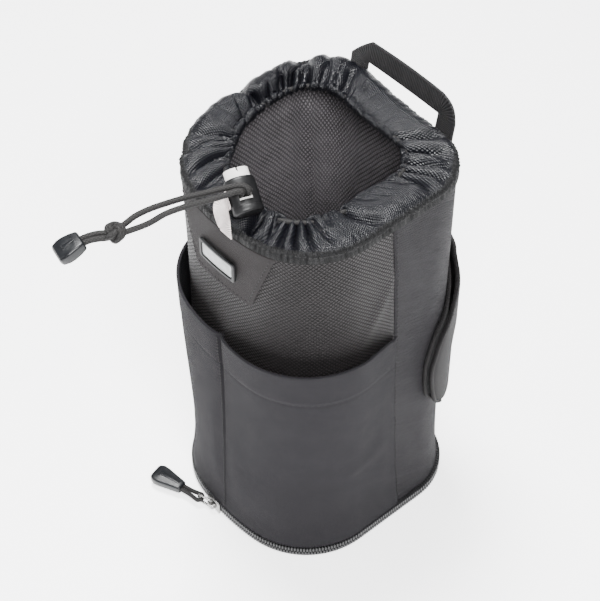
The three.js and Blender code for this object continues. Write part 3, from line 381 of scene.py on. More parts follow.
class Wall:
    """The standing wall: its plan outline, and places on it by length round, distance out and height."""

    def __init__(self):
        s = self.sizes = sizes()
        self.front_y = s.front_radius - s.wall_front
        self.corner_x = s.half_width - s.corner_radius
        reach = s.front_radius - s.corner_radius
        self.corner_y = self.front_y - math.sqrt(reach**2 - self.corner_x**2)
        self.back_x = s.half_width - s.back_radius
        self.back_y = s.wall_back - s.back_radius
        self.sweep = math.asin(self.corner_x / reach)
        front = s.front_radius * self.sweep
        corner = s.corner_radius * (math.pi / 2 - self.sweep)
        side = self.back_y - self.corner_y
        rear = s.back_radius * math.pi / 2
        self.stops = np.cumsum([front, corner, side, rear])
        self.half = float(self.stops[-1] + self.back_x)
        self.back_seam = float(self.stops[2] + rear / 2)

    def flare(self, z):
        s = self.sizes
        return s.foot_flare * np.exp(-np.maximum(z - s.wall_low, 0) / s.flare_fade)

    def near(self, along):
        """The same place as a length from the front centre, positive on the right."""
        return (along + self.half) % (2 * self.half) - self.half

    def at(self, along, out, z):
        """Points of the wall at lengths round it, distances out from it and heights."""
        s = self.sizes
        along, out, z = np.broadcast_arrays(*(np.asarray(v, float) for v in (along, out, z)))
        along = self.near(along)
        side = np.where(along < 0, -1.0, 1.0)
        rest = np.abs(along)
        off = out + self.flare(z)
        front, corner, straight, rear = self.stops
        a = rest / s.front_radius
        b = self.sweep + (rest - front) / s.corner_radius
        c = (rest - straight) / s.back_radius
        where = [rest <= front, rest <= corner, rest <= straight, rest <= rear]
        x = np.select(
            where,
            [
                (s.front_radius + off) * np.sin(a),
                self.corner_x + (s.corner_radius + off) * np.sin(b),
                s.half_width + off,
                self.back_x + (s.back_radius + off) * np.cos(c),
            ],
            self.back_x - (rest - rear),
        )
        y = np.select(
            where,
            [
                self.front_y - (s.front_radius + off) * np.cos(a),
                self.corner_y - (s.corner_radius + off) * np.cos(b),
                self.corner_y + rest - corner,
                self.back_y + (s.back_radius + off) * np.sin(c),
            ],
            s.wall_back + off,
        )
        return np.stack([side * x, y, z], axis=-1)

    def seam(self, z):
        """Length round to the side seam at a height."""
        s = self.sizes
        y = s.seam_low_y + (s.seam_top_y - s.seam_low_y) * z / s.wall_top
        return self.stops[1] + y - self.corner_y

    def relief(self, along, z):
        """Soft unevenness of the padded wall, with none at its foot, rim and back."""
        s, side = self.sizes, np.abs(along)
        fade = 0.03
        calm = ease((z - s.wall_low) / fade) * ease((s.wall_top - z) / fade)
        calm = calm * ease((self.back_seam - side) / fade)
        slow = np.sin(along / 0.031 - z / 0.055 + 2.0)
        quick = np.sin(along / 0.017 + 1.5 * np.sin(z / 0.045)) * np.sin(z / 0.038 + 0.6)
        slant = mound(side - 0.082 - 0.53 * (z - 0.17), 0.005) * mound(z - 0.188, 0.02)
        level = mound(z - 0.07 - 0.25 * (side - 0.08), 0.006) * mound(side - 0.088, 0.012)
        return s.relief * calm * (slow + 0.6 * quick + 1.5 * slant + 1.2 * level)

    def skin(self, along, out, z):
        """The same place with the wall's unevenness."""
        along, out, z = np.broadcast_arrays(*(np.asarray(v, float) for v in (along, out, z)))
        return self.at(along, out + self.relief(along, z), z)

    def pocket_top(self, along):
        """Height of the pocket's edge, slack between the centre stitch and the seams."""
        s = self.sizes
        share = np.minimum(np.abs(along) / self.seam(s.pocket_line), 1)
        rise = np.where(along >= 0, 0.006, 0.009)
        return s.pocket_line + rise * np.sqrt(np.sin(np.pi * share) + 1e-9)

    def gape(self, along, z):
        """How far the pocket stands off between its centre stitch and the side seams."""
        near, start = 0.5, 0.06
        far = np.where(along >= 0, 0.8, 2.0)
        most = np.where(along >= 0, 0.007, 0.006)
        share = np.clip(np.abs(along) / self.seam(z), 0, 1)
        peak = near / (near + far)
        ramp = np.clip((z - start) / (self.pocket_top(along) - start), 0, 1)
        return most * share**near * (1 - share) ** far * ramp**1.3 / (peak**near * (1 - peak) ** far)


def new_piece(name, points, faces, uvs=None, smooth_angle=50):
    """A mesh object of its points and faces, with an optional UV for each face corner."""
    mesh = bpy.data.meshes.new(name)
    mesh.from_pydata(np.asarray(points, float).reshape(-1, 3).tolist(), [], np.asarray(faces).tolist())
    if uvs is not None:
        layer = mesh.uv_layers.new(name="Cloth")
        layer.data.foreach_set("uv", np.asarray(uvs, np.float32).ravel())
    piece = bpy.data.objects.new(name, mesh)
    bpy.context.scene.collection.objects.link(piece)
    mesh.update()
    tidy(piece)
    soften(piece, smooth_angle)
    return piece


def tidy(piece):
    """Merges doubled points and turns the faces outwards."""
    work = bmesh.new()
    work.from_mesh(piece.data)
    bmesh.ops.remove_doubles(work, verts=work.verts, dist=1e-7)
    bmesh.ops.recalc_face_normals(work, faces=work.faces)
    work.to_mesh(piece.data)
    work.free()


def soften(piece, degrees):
    """Smooth shading with sharp edges past an angle."""
    piece.data.shade_smooth()
    piece.data.set_sharp_from_angle(angle=math.radians(degrees))


def corner_uvs(grid):
    """UVs of each quad's corners, in the order that quads() lists them."""
    return np.stack([grid[:-1, :-1], grid[1:, :-1], grid[1:, 1:], grid[:-1, 1:]], axis=2).reshape(-1, 2)


def quads(rows, columns, ring_rows, ring_columns):
    """Faces between neighbouring points of a grid that may close either way."""
    i = np.arange(rows if ring_rows else rows - 1)[:, None]
    j = np.arange(columns if ring_columns else columns - 1)[None, :]
    k, m = (i + 1) % rows, (j + 1) % columns
    corners = [i * columns + j, k * columns + j, k * columns + m, i * columns + m]
    return np.stack(np.broadcast_arrays(*corners), axis=-1).reshape(-1, 4)


def loft(name, rings, uv, closed=False, smooth_angle=50):
    """One closed skin through rings of points; open ends are capped across their paired points."""
    rings = np.asarray(rings, float)
    count, width = rings.shape[:2]
    faces = quads(count, width, closed, True)
    grid = np.asarray(uv, float)
    missing = count + closed - grid.shape[0], width + 1 - grid.shape[1]
    grid = np.pad(grid, ((0, missing[0]), (0, missing[1]), (0, 0)), mode="wrap")
    corners = corner_uvs(grid)
    if not closed:
        base = (count - 1) * width
        cap, cap_uv = [], []
        for start, row in ((0, grid[0]), (base, grid[-1])):
            for j in range(width // 2 - 1):
                picks = [j, j + 1, width - 2 - j, width - 1 - j]
                cap.append([start + k for k in picks])
                cap_uv.extend(row[picks])
        faces = np.concatenate([faces, np.array(cap)])
        corners = np.concatenate([corners, np.array(cap_uv)])
    return new_piece(name, rings, faces, corners, smooth_angle)


def dress(piece, body, name, slot=None, *nodes):
    """Gives a piece its finish, its body, its material slot and the nodes that it stands for."""
    piece.data.materials.clear()
    piece.data.materials.append(finish(name))
    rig.ride(piece, body)
    if slot:
        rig.slot(piece, slot)
    if nodes:
        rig.replaces(piece, *nodes)
    return piece


def section(low, high, thick, rows):
    """Height and outward share of a cloth's section: up its outer face, over the top and down inside."""
    turns = np.radians([36, 72])
    round_ = thick / 2
    foot = low + round_ - round_ * np.sin(turns[::-1])
    crown = high - round_ + round_ * np.sin(turns)
    z = np.concatenate([foot, np.linspace(low + round_, high - round_, rows), crown])
    mix = 0.5 + 0.5 * np.concatenate([np.cos(turns[::-1]), np.ones(rows), np.cos(turns)])
    return np.concatenate([z, z[::-1]]), np.concatenate([mix, 1 - mix[::-1]])


def wall_sheet(name, edges, outer, inner, low, high, columns, rows, skin=None):
    """Cloth with rounded rims, between two edges (lengths round at a height) or all round the wall."""
    wall = Wall()
    skin = skin or wall.skin
    closed = edges is None
    start, end = edges or (steady(0), steady(2 * wall.half))
    shares = np.linspace(0, 1, columns if closed else columns + 1, endpoint=not closed)
    middle = (low + (high if np.isscalar(high) else sizes().pocket_line)) / 2
    rings, uvs = [], []
    for share in shares:
        guess = float(start(middle) + share * (end(middle) - start(middle)))
        top = high if np.isscalar(high) else float(high(guess))
        z, mix = section(low, top, float(outer(guess, middle) - inner(guess, middle)), rows)
        along = start(z) + share * (end(z) - start(z))
        outs = inner(along, z) + mix * (outer(along, z) - inner(along, z))
        rings.append(skin(along, outs, z))
        uvs.append(np.stack([along, z], axis=-1))
    uvs = np.array(uvs)
    if closed:
        uvs = closed_round(uvs, 2 * wall.half)
    return loft(name, rings, uvs, closed)


def closed_round(uvs, round_):
    """UVs with their first row repeated one round further on."""
    last = uvs[:1].copy()
    last[..., 0] += round_
    return np.concatenate([uvs, last])


def catmull(points, share_steps):
    """A smooth curve through points, as dense points, on centripetal steps."""
    points = [np.asarray(p, float) for p in points]
    padded = [2 * points[0] - points[1], *points, 2 * points[-1] - points[-2]]
    made = []
    for i in range(1, len(padded) - 2):
        a, b, c, d = padded[i - 1 : i + 3]
        da, db, dc = (max(np.linalg.norm(q - p), 1e-9) ** 0.5 for p, q in ((a, b), (b, c), (c, d)))
        m = ((b - a) / da - (c - a) / (da + db) + (c - b) / db) * db
        n = ((c - b) / db - (d - b) / (db + dc) + (d - c) / dc) * db
        t = np.linspace(0, 1, share_steps, endpoint=False)[:, None]
        made.append(b + m * t + (3 * (c - b) - 2 * m - n) * t**2 + (m + n - 2 * (c - b)) * t**3)
    return np.concatenate([*made, points[-1][None]])


def even(line, count):
    """The line's points spread at even steps, and its length."""
    steps = lengths(line)
    at = np.linspace(0, steps[-1], count)
    return np.stack([np.interp(at, steps, line[:, k]) for k in range(3)], axis=-1), steps[-1]


def frames_along(line):
    """Tangents, normals and sides carried along a line without twist."""
    tangents = unit(np.gradient(line, axis=0))
    normal = np.array([0.13, 0.21, 0.97])
    normals = []
    for tangent in tangents:
        normal = unit(normal - tangent * (normal @ tangent))
        normals.append(normal)
    normals = np.array(normals)
    return tangents, normals, np.cross(tangents, normals)


def round_skin(name, centres, normals, across, radii, reach, sides, smooth_angle):
    """A round skin along centres, with a UV; it closes where reach has one entry more than them."""
    turns = (2 * np.pi * np.arange(sides) / sides)[:, None]
    ring = normals[:, None] * np.cos(turns) + across[:, None] * np.sin(turns)
    points = centres[:, None] + ring * radii[:, None, None]
    around = np.linspace(0, 2 * np.pi * radii.max(), sides + 1)
    grid = np.stack(np.meshgrid(reach, around, indexing="ij"), axis=-1)
    faces = quads(len(centres), sides, len(reach) > len(centres), True)
    return new_piece(name, points, faces, corner_uvs(grid), smooth_angle)


def tube(name, line, radius, sides=12):
    """A round cord along a line, with rounded ends."""
    tangents, normals, across = frames_along(line)
    cap = np.array([0.0, 0.55, 0.87])
    last = len(line) - 1
    centres = [line[0] - tangents[0] * radius * 0.5 * (1 - c) for c in cap] + list(line[1:-1])
    centres += [line[-1] + tangents[-1] * radius * 0.5 * (1 - c) for c in cap[::-1]]
    centres = np.array(centres)
    pick = [0] * 3 + list(range(1, last)) + [last] * 3
    radii = np.maximum(np.concatenate([cap, np.ones(last - 1), cap[::-1]]) * radius, 1e-9)
    return round_skin(name, centres, normals[pick], across[pick], radii, lengths(centres), sides, 60)


def plate(name, out, outline_z, low, high, rim):
    """A flat sheet with the pouch's outline and a rounded rim."""
    wall = Wall()
    count, rows = 160, 10
    along = np.linspace(-wall.half, wall.half, count, endpoint=False)
    edge = wall.at(along, out, outline_z)[:, :2]
    inset = wall.at(along, out - rim, outline_z)[:, :2]
    middle, half = (low + high) / 2, (high - low) / 2
    steps = [(inset * share, low) for share in np.linspace(0, 1, rows)]
    for turn in np.linspace(-np.pi / 2, np.pi / 2, 7)[1:-1]:
        steps.append((inset + (edge - inset) * math.cos(turn), middle + half * math.sin(turn)))
    steps += [(inset * share, high) for share in np.linspace(1, 0, rows)]
    rings = np.array([[(*round_[i], z) for round_, z in steps] for i in range(count)])
    return loft(name, rings, rings[..., :2] + 0.5, True)


def deselect():
    if bpy.context.mode != "OBJECT":
        bpy.ops.object.mode_set(mode="OBJECT")
    bpy.ops.object.select_all(action="DESELECT")


def primitive(name, add, **options):
    """Adds one primitive by itself and names it."""
    deselect()
    add(**options)
    piece = bpy.context.object
    piece.name = name
    piece.data.name = name
    return piece


def edit(piece):
    """Opens one piece for editing with nothing selected."""
    deselect()
    piece.select_set(True)
    bpy.context.view_layer.objects.active = piece
    bpy.ops.object.mode_set(mode="EDIT")
    bpy.ops.mesh.select_mode(type="FACE")
    bpy.ops.mesh.select_all(action="DESELECT")


def done():
    bpy.ops.object.mode_set(mode="OBJECT")


def pick_faces(piece, test):
    """Selects only the faces whose centre and normal pass the test."""
    bpy.ops.mesh.select_mode(type="FACE")
    bpy.ops.mesh.select_all(action="DESELECT")
    work = bmesh.from_edit_mesh(piece.data)
    for face in work.faces:
        face.select_set(bool(test(face.calc_center_median(), face.normal)))
    work.select_flush(False)
    bmesh.update_edit_mesh(piece.data)


def pick_edges(piece, test):
    """Selects only the edges whose middle and run pass the test."""
    bpy.ops.mesh.select_all(action="DESELECT")
    bpy.ops.mesh.select_mode(type="EDGE")
    work = bmesh.from_edit_mesh(piece.data)
    for edge in work.edges:
        a, b = edge.verts[0].co, edge.verts[1].co
        edge.select_set(bool(test((a + b) / 2, (b - a).normalized())))
    bmesh.update_edit_mesh(piece.data)


def slices(axis, places):
    """Cuts the piece that is open for editing across an axis at some places, keeping all of it."""
    normal = [1.0 if k == axis else 0.0 for k in range(3)]
    for place in places:
        bpy.ops.mesh.select_all(action="SELECT")
        point = [place if k == axis else 0.0 for k in range(3)]
        bpy.ops.mesh.bisect(plane_co=point, plane_no=normal)


def modify(piece, kind, **settings):
    """Adds one modifier, sets it and applies it."""
    deselect()
    piece.select_set(True)
    bpy.context.view_layer.objects.active = piece
    modifier = piece.modifiers.new(kind.title(), kind)
    for key, value in settings.items():
        setattr(modifier, key, value)
    bpy.ops.object.modifier_apply(modifier=modifier.name)
    return piece


def bevel(piece, width, segments, sharper=0.6):
    """Rounds the edges that are sharper than an angle."""
    return modify(piece, "BEVEL", width=width, segments=segments, limit_method="ANGLE", angle_limit=sharper)


def carve(piece, *cutters):
    """Cuts the cutters out of a piece and removes them."""
    for cutter in cutters:
        modify(piece, "BOOLEAN", operation="DIFFERENCE", object=cutter, solver="EXACT")
        bpy.data.objects.remove(cutter)
    return piece


def weld(name, pieces):
    """Joins pieces into the first and names it."""
    deselect()
    for piece in pieces:
        piece.select_set(True)
    bpy.context.view_layer.objects.active = pieces[0]
    bpy.ops.object.join()
    pieces[0].name = name
    pieces[0].data.name = name
    return pieces[0]


def box_piece(name, low, high):
    """A block between two corners, its place in its mesh."""
    low, high = Vector(low), Vector(high)
    piece = primitive(name, bpy.ops.mesh.primitive_cube_add, size=1, location=(low + high) / 2)
    piece.scale = high - low
    settle(piece)
    return piece


def settle(piece):
    """Moves a piece's place, turn and size into its mesh."""
    deselect()
    piece.select_set(True)
    bpy.context.view_layer.objects.active = piece
    bpy.ops.object.transform_apply(location=True, rotation=True, scale=True)


def put(piece, matrix, smooth_angle=40):
    """Moves a finished piece from its own frame to its place and softens it."""
    piece.matrix_world = matrix
    bpy.context.view_layer.update()
    settle(piece)
    soften(piece, smooth_angle)


def reshape(piece, change):
    """Moves every point of a piece through a function of an array of points."""
    points = np.empty(len(piece.data.vertices) * 3)
    piece.data.vertices.foreach_get("co", points)
    piece.data.vertices.foreach_set("co", np.asarray(change(points.reshape(-1, 3)), float).ravel())
    piece.data.update()
    return piece


def copies(name, shape, matrices, smooth_angle=50):
    """One mesh that holds a copy of a modelled shape at each matrix; the shape is removed."""
    points = np.array([v.co[:] for v in shape.data.vertices])
    faces = [list(p.vertices) for p in shape.data.polygons]
    bpy.data.objects.remove(shape)
    matrices = np.asarray(matrices, float)
    moved = np.einsum("nij,vj->nvi", matrices[:, :3, :3], points) + matrices[:, None, :3, 3]
    every = [[k + i * len(points) for k in face] for i in range(len(matrices)) for face in faces]
    mesh = bpy.data.meshes.new(name)
    mesh.from_pydata(moved.reshape(-1, 3).tolist(), [], every)
    piece = bpy.data.objects.new(name, mesh)
    bpy.context.scene.collection.objects.link(piece)
    soften(piece, smooth_angle)
    return piece


def matrices_from(places, runs, ups):
    """A matrix for each place, its X along the run and its Z up from the surface."""
    runs = unit(runs)
    ups = unit(ups - runs * (runs * ups).sum(axis=1)[:, None])
    made = np.zeros((len(places), 4, 4))
    made[:, :3] = np.stack([runs, np.cross(ups, runs), ups, places], axis=-1)
    made[:, 3, 3] = 1
    return made


def one_stitch():
    """A short round-ended thread, half sunk in its cloth."""
    s = sizes()
    shape = primitive("stitch", bpy.ops.mesh.primitive_uv_sphere_add, segments=8, ring_count=6, radius=1)
    shape.rotation_euler = (0, math.pi / 2, 0)
    shape.scale = (s.thread, s.thread * 1.15, s.stitch / 2)
    settle(shape)
    return shape


def stitch_row(name, line, ups, pitch=None, lift=0.0):
    """A row of stitches along a line of points, with the surface's outward direction at each point."""
    pitch = pitch or sizes().stitch_pitch
    steps = lengths(line)
    count = max(int(steps[-1] / pitch), 2)
    at = (np.arange(count) + 0.5) * steps[-1] / count
    spread = lambda rows, where: np.stack([np.interp(where, steps, rows[:, k]) for k in range(3)], axis=-1)
    up = unit(spread(ups, at))
    runs = spread(line, at + pitch / 4) - spread(line, at - pitch / 4)
    matrices = matrices_from(spread(line, at) + up * lift, runs, up)
    dress(copies(name, one_stitch(), matrices, 180), "pouch", "sewing thread")


def sew(name, along, out, z, pitch, lift=0.0):
    """A row of stitches on the wall, at lengths round it, distances out and heights."""
    wall = Wall()
    low = wall.skin(along, out, z)
    stitch_row(name, low, wall.skin(along, out + 0.001, z) - low, pitch, lift)


class Finish:
    """A material whose nodes are added one by one."""

    def __init__(self, name, **constants):
        self.material = bpy.data.materials.new(name)
        self.material.use_nodes = True
        self.tree = self.material.node_tree
        self.shader = self.tree.nodes["Principled BSDF"]
        for key, value in constants.items():
            self.shader.inputs[key.replace("_", " ").title().replace("Ior", "IOR")].default_value = value

    def node(self, kind, settings=None, inputs=None):
        made = self.tree.nodes.new("ShaderNode" + kind)
        for key, value in (settings or {}).items():
            setattr(made, key, value)
        for key, value in (inputs or {}).items():
            self.feed(made.inputs[key], value)
        return made

    def feed(self, socket, value):
        if isinstance(value, bpy.types.NodeSocket):
            self.tree.links.new(value, socket)
        else:
            socket.default_value = value

    def math(self, operation, a, b=0.0):
        return self.node("Math", {"operation": operation}, {0: a, 1: b}).outputs[0]

    def times(self, a, b):
        return self.math("MULTIPLY", a, b)

    def wave(self, value, pitch):
        return self.math("SINE", self.times(value, 2 * math.pi / pitch))

    def lozenge(self, run, slope):
        """Lozenges between lines of two slants: 0 on the lines, more inside."""
        rise = self.math("PINGPONG", self.math("ADD", run, slope), 0.5)
        fall = self.math("PINGPONG", self.math("SUBTRACT", run, slope), 0.5)
        return self.math("MINIMUM", rise, fall)

    def span(self, value, low, high, to_low=0.0, to_high=1.0):
        """A value's range eased onto another range."""
        inputs = {"Value": value, "From Min": low, "From Max": high, "To Min": to_low, "To Max": to_high}
        return self.node("MapRange", {"interpolation_type": "SMOOTHSTEP"}, inputs).outputs["Result"]

    def cloth(self):
        """Length round and height of a cloth, in metres, from its own UV map."""
        uv = self.node("UVMap", {"uv_map": "Cloth"}).outputs["UV"]
        split = self.node("SeparateXYZ", None, {0: uv})
        return uv, split.outputs["X"], split.outputs["Y"]

    def place(self):
        """The place on the object itself."""
        return self.node("TexCoord").outputs["Object"]

    def noise(self, vector, scale, detail=2.0, rough=0.5):
        inputs = {"Vector": vector, "Scale": scale, "Detail": detail, "Roughness": rough}
        return self.node("TexNoise", None, inputs).outputs["Fac"]

    def blend(self, share, low, high):
        """A colour between two, by a share."""
        node = self.node("Mix", {"data_type": "RGBA"})
        self.feed(node.inputs["Factor"], share)
        for key, value in ((6, low), (7, high)):
            self.feed(node.inputs[key], value if isinstance(value, bpy.types.NodeSocket) else (*value, 1.0))
        return node.outputs[2]

    def tones(self, share, tone, low, high):
        """A colour between two shades of a tone."""
        return self.blend(share, scaled(tone, low), scaled(tone, high))

    def bump(self, height, distance, strength=1.0, under=None):
        inputs = {"Height": height, "Distance": distance, "Strength": strength}
        if under is not None:
            inputs["Normal"] = under
        return self.node("Bump", None, inputs).outputs["Normal"]

    def close(self, base=None, rough=None, normal=None):
        for key, value in (("Base Color", base), ("Roughness", rough), ("Normal", normal)):
            if value is not None:
                self.feed(self.shader.inputs[key], value)
        return self.material


def scaled(value, factor):
    return tuple(min(c * factor, 1.0) for c in value)


def embossed_finish(name, tone, squat, rough):
    """Coated cloth with raised lozenges in offset rows, each with a fine thread grain, with painted highlight on the
    lozenges' tops and painted shade in their grooves.
    """
    f = Finish(name, sheen_weight=0.01, sheen_roughness=0.4, specular_ior_level=0.14)
    pitch = sizes().weave_pitch
    low_pitch = pitch * squat
    uv, u, v = f.cloth()
    sway = f.times(f.math("SUBTRACT", f.noise(uv, 45.0, 1.0), 0.5), pitch * 0.9)
    u = f.math("ADD", u, sway)
    pillow = f.lozenge(f.math("DIVIDE", u, pitch), f.math("DIVIDE", v, 2 * low_pitch))
    raised = f.span(pillow, 0.03, 0.3)
    wear = f.noise(uv, 60.0, 4.0, 0.6)
    height = f.math("ADD", raised, f.times(f.wave(v, low_pitch * 0.33), 0.05))
    # Raised tops are painted lighter and the grooves darker: painted highlight on the lozenges and painted shade in the
    # grooves between them
    tint = f.tones(raised, tone, 0.32, 1.2)
    tint = f.blend(f.span(wear, 0.3, 0.75, 0.0, 0.35), tint, scaled(tone, 1.4))
    return f.close(tint, f.span(raised, 0.0, 1.0, rough + 0.3, rough), f.bump(height, 0.0010))


def plain_finish(name, tone, threads, rough, streak, depth):
    """Plain woven cloth: crossed threads, soft mottling and faint slanting streaks."""
    f = Finish(name, sheen_weight=0.02, sheen_roughness=0.45, specular_ior_level=0.06)
    pitch = sizes().plain_pitch * threads
    uv, u, v = f.cloth()
    weave = f.times(f.wave(u, pitch), f.wave(v, pitch))
    mottle = f.noise(uv, 75.0, 5.0, 0.65)
    slant = f.math("ADD", f.times(u, 140.0), f.times(v, 260.0))
    along = f.times(f.math("SUBTRACT", u, v), 18.0)
    streaks = f.noise(f.node("CombineXYZ", None, {0: slant, 1: along}).outputs[0], 1.0, 3.0, 0.55)
    tint = f.tones(f.span(weave, -1.0, 1.0), tone, 0.78, 1.12)
    tint = f.blend(f.span(mottle, 0.3, 0.7, 0.0, 0.4), tint, scaled(tone, 1.25))
    tint = f.blend(f.span(streaks, 0.45, 0.75, 0.0, streak), tint, scaled(tone, 1.6))
    soft = f.bump(mottle, 0.0006, 0.5)
    return f.close(tint, f.span(mottle, 0.3, 0.7, rough, rough + 0.1), f.bump(weave, depth, 1.0, soft))


def nylon_finish(name, tone):
    """Thin coated nylon: fine weave, satin gloss, small puckers and a dull speckled band over its seam, painted darker
    as shade among the seam's puckers.
    """
    f = Finish(name, specular_ior_level=0.25)
    uv, u, v = f.cloth()
    weave = f.times(f.wave(u, 0.0011), f.wave(v, 0.0011))
    drawn = f.node("CombineXYZ", None, {0: f.times(u, 420.0), 1: f.times(v, 70.0)}).outputs[0]
    pucker = f.noise(drawn, 1.0, 3.0, 0.6)
    mottle = f.noise(uv, 120.0, 3.0)
    speckle = f.noise(uv, 1100.0, 2.0, 0.7)
    band = f.span(v, 0.0036, 0.0052, 1.0, 0.0)
    tint = f.tones(f.span(weave, -1.0, 1.0), tone, 0.72, 1.2)
    tint = f.blend(f.span(mottle, 0.35, 0.7, 0.0, 0.4), tint, scaled(tone, 1.4))
    # The band over the seam is painted much darker, with specks: painted shade among the seam's puckers
    tint = f.blend(band, tint, f.tones(f.span(speckle, 0.42, 0.66), tone, 0.06, 0.55))
    soft = f.bump(pucker, 0.0009, 0.5)
    soft = f.bump(f.times(speckle, band), 0.0007, 1.0, soft)
    rough = f.math("ADD", f.span(mottle, 0.3, 0.7, 0.27, 0.36), f.times(band, 0.4))
    return f.close(tint, rough, f.bump(weave, 0.00014, 1.0, soft))


def ribbed_finish(name, tone, pitch, rough, across=False, depth=0.0003, shade=1.0):
    """Woven webbing or tape: ribs over its length, with a fine herringbone between, the ribs carrying painted highlight
    and painted shade.
    """
    f = Finish(name, sheen_weight=0.02, sheen_roughness=0.4, specular_ior_level=0.15)
    tone = scaled(tone, shade)
    uv, u, v = f.cloth()
    along, over = (v, u) if across else (u, v)
    rib = f.math("PINGPONG", f.math("DIVIDE", along, pitch), 0.5)
    raised = f.span(rib, 0.06, 0.4)
    height = f.math("ADD", raised, f.times(f.wave(over, pitch * 0.55), 0.14))
    mottle = f.noise(uv, 180.0, 3.0)
    # Rib tops are painted lighter and the grooves between them darker: painted highlight and painted shade on the ribs
    tint = f.tones(height, tone, 0.3, 1.4)
    tint = f.blend(f.span(mottle, 0.4, 0.75, 0.0, 0.4), tint, scaled(tone, 1.6))
    return f.close(tint, rough, f.bump(height, depth))


def braid_finish(name, tone):
    """Braided cord: strands that cross in two slants."""
    f = Finish(name, sheen_weight=0.02, sheen_roughness=0.4, specular_ior_level=0.25)
    _, u, v = f.cloth()
    turn = f.math("DIVIDE", v, 2 * math.pi * sizes().cord_radius / 5)
    strand = f.span(f.lozenge(f.math("DIVIDE", u, 0.0019), turn), 0.02, 0.3)
    tint = f.tones(strand, tone, 0.72, 1.15)
    return f.close(tint, f.span(strand, 0.0, 1.0, 0.75, 0.6), f.bump(strand, 0.00014))


def thread_finish(name, tone):
    """Twisted sewing thread."""
    f = Finish(name, roughness=0.6, specular_ior_level=0.3)
    inputs = {"Vector": f.place(), "Scale": 900.0}
    twist = f.node("TexWave", {"bands_direction": "DIAGONAL"}, inputs).outputs["Fac"]
    return f.close(f.tones(twist, tone, 0.6, 1.5), None, f.bump(twist, 0.00005))


def pile_finish(name, tone, scale, depth):
    """Brushed or hooked pile: a dense field of small tufts."""
    f = Finish(name, roughness=0.95, sheen_weight=0.04, sheen_roughness=0.6, specular_ior_level=0.1)
    place = f.place()
    tufts = f.node("TexVoronoi", None, {"Vector": place, "Scale": scale}).outputs["Distance"]
    brushed = f.noise(place, scale * 0.12, 4.0, 0.6)
    tint = f.tones(f.span(tufts, 0.0, 0.6), tone, 1.8, 0.5)
    tint = f.blend(f.span(brushed, 0.35, 0.7, 0.0, 0.5), tint, scaled(tone, 2.2))
    return f.close(tint, None, f.bump(tufts, depth, 1.0, f.bump(brushed, depth * 2, 0.5)))


def foam_finish(name, tone):
    """Foam with its small cells."""
    f = Finish(name, roughness=0.9, specular_ior_level=0.3)
    cells = f.node("TexVoronoi", None, {"Vector": f.place(), "Scale": 1400.0}).outputs["Distance"]
    return f.close(f.tones(cells, tone, 1.3, 0.7), None, f.bump(cells, 0.0002))


def moulded_finish(name, tone, rough, coat=0.0, scale=1500.0, grain=0.00003):
    """Moulded plastic or rubber: spark-eroded grain, rubbed lighter in places."""
    f = Finish(name, coat_weight=coat, coat_roughness=0.3, specular_ior_level=0.28)
    place = f.place()
    fine = f.noise(place, scale, 3.0, 0.6)
    rubbed = f.noise(place, 220.0, 4.0, 0.65)
    tint = f.tones(f.span(rubbed, 0.45, 0.75, 0.0, 0.5), tone, 1.0, 1.5)
    return f.close(tint, f.span(rubbed, 0.3, 0.7, rough, rough + 0.12), f.bump(fine, grain))


def metal_finish(name, tone, rough):
    """Plated metal with fine tumbling marks."""
    f = Finish(name, metallic=1.0)
    place = f.place()
    marks = f.noise(place, 900.0, 4.0, 0.7)
    dull = f.noise(place, 260.0, 3.0)
    tint = f.tones(f.span(dull, 0.4, 0.8, 0.0, 0.6), tone, 1.0, 0.6)
    return f.close(tint, f.span(marks, 0.3, 0.7, rough, rough + 0.18), f.bump(marks, 0.00003))


def foil_finish(name, tone):
    """Silver coated plate, left bare: fine grain and a soft cloudiness."""
    f = Finish(name, metallic=0.55)
    place = f.place()
    grain = f.noise(place, 2200.0, 3.0, 0.6)
    cloud = f.noise(place, 180.0, 3.0)
    tint = f.tones(f.span(cloud, 0.35, 0.7), tone, 0.85, 1.2)
    return f.close(tint, f.span(grain, 0.3, 0.7, 0.3, 0.45), f.bump(grain, 0.00002))


def floor_finish():
    stage = bpy.context.scene.pouch_stage
    f = Finish("studio floor", roughness=0.9, specular_ior_level=0.1, emission_strength=stage.glow)
    f.shader.inputs["Emission Color"].default_value = (1, 1, 1, 1)
    return f.close(f.tones(f.noise(f.place(), 2.0, 2.0), stage.floor, 0.99, 1.01))


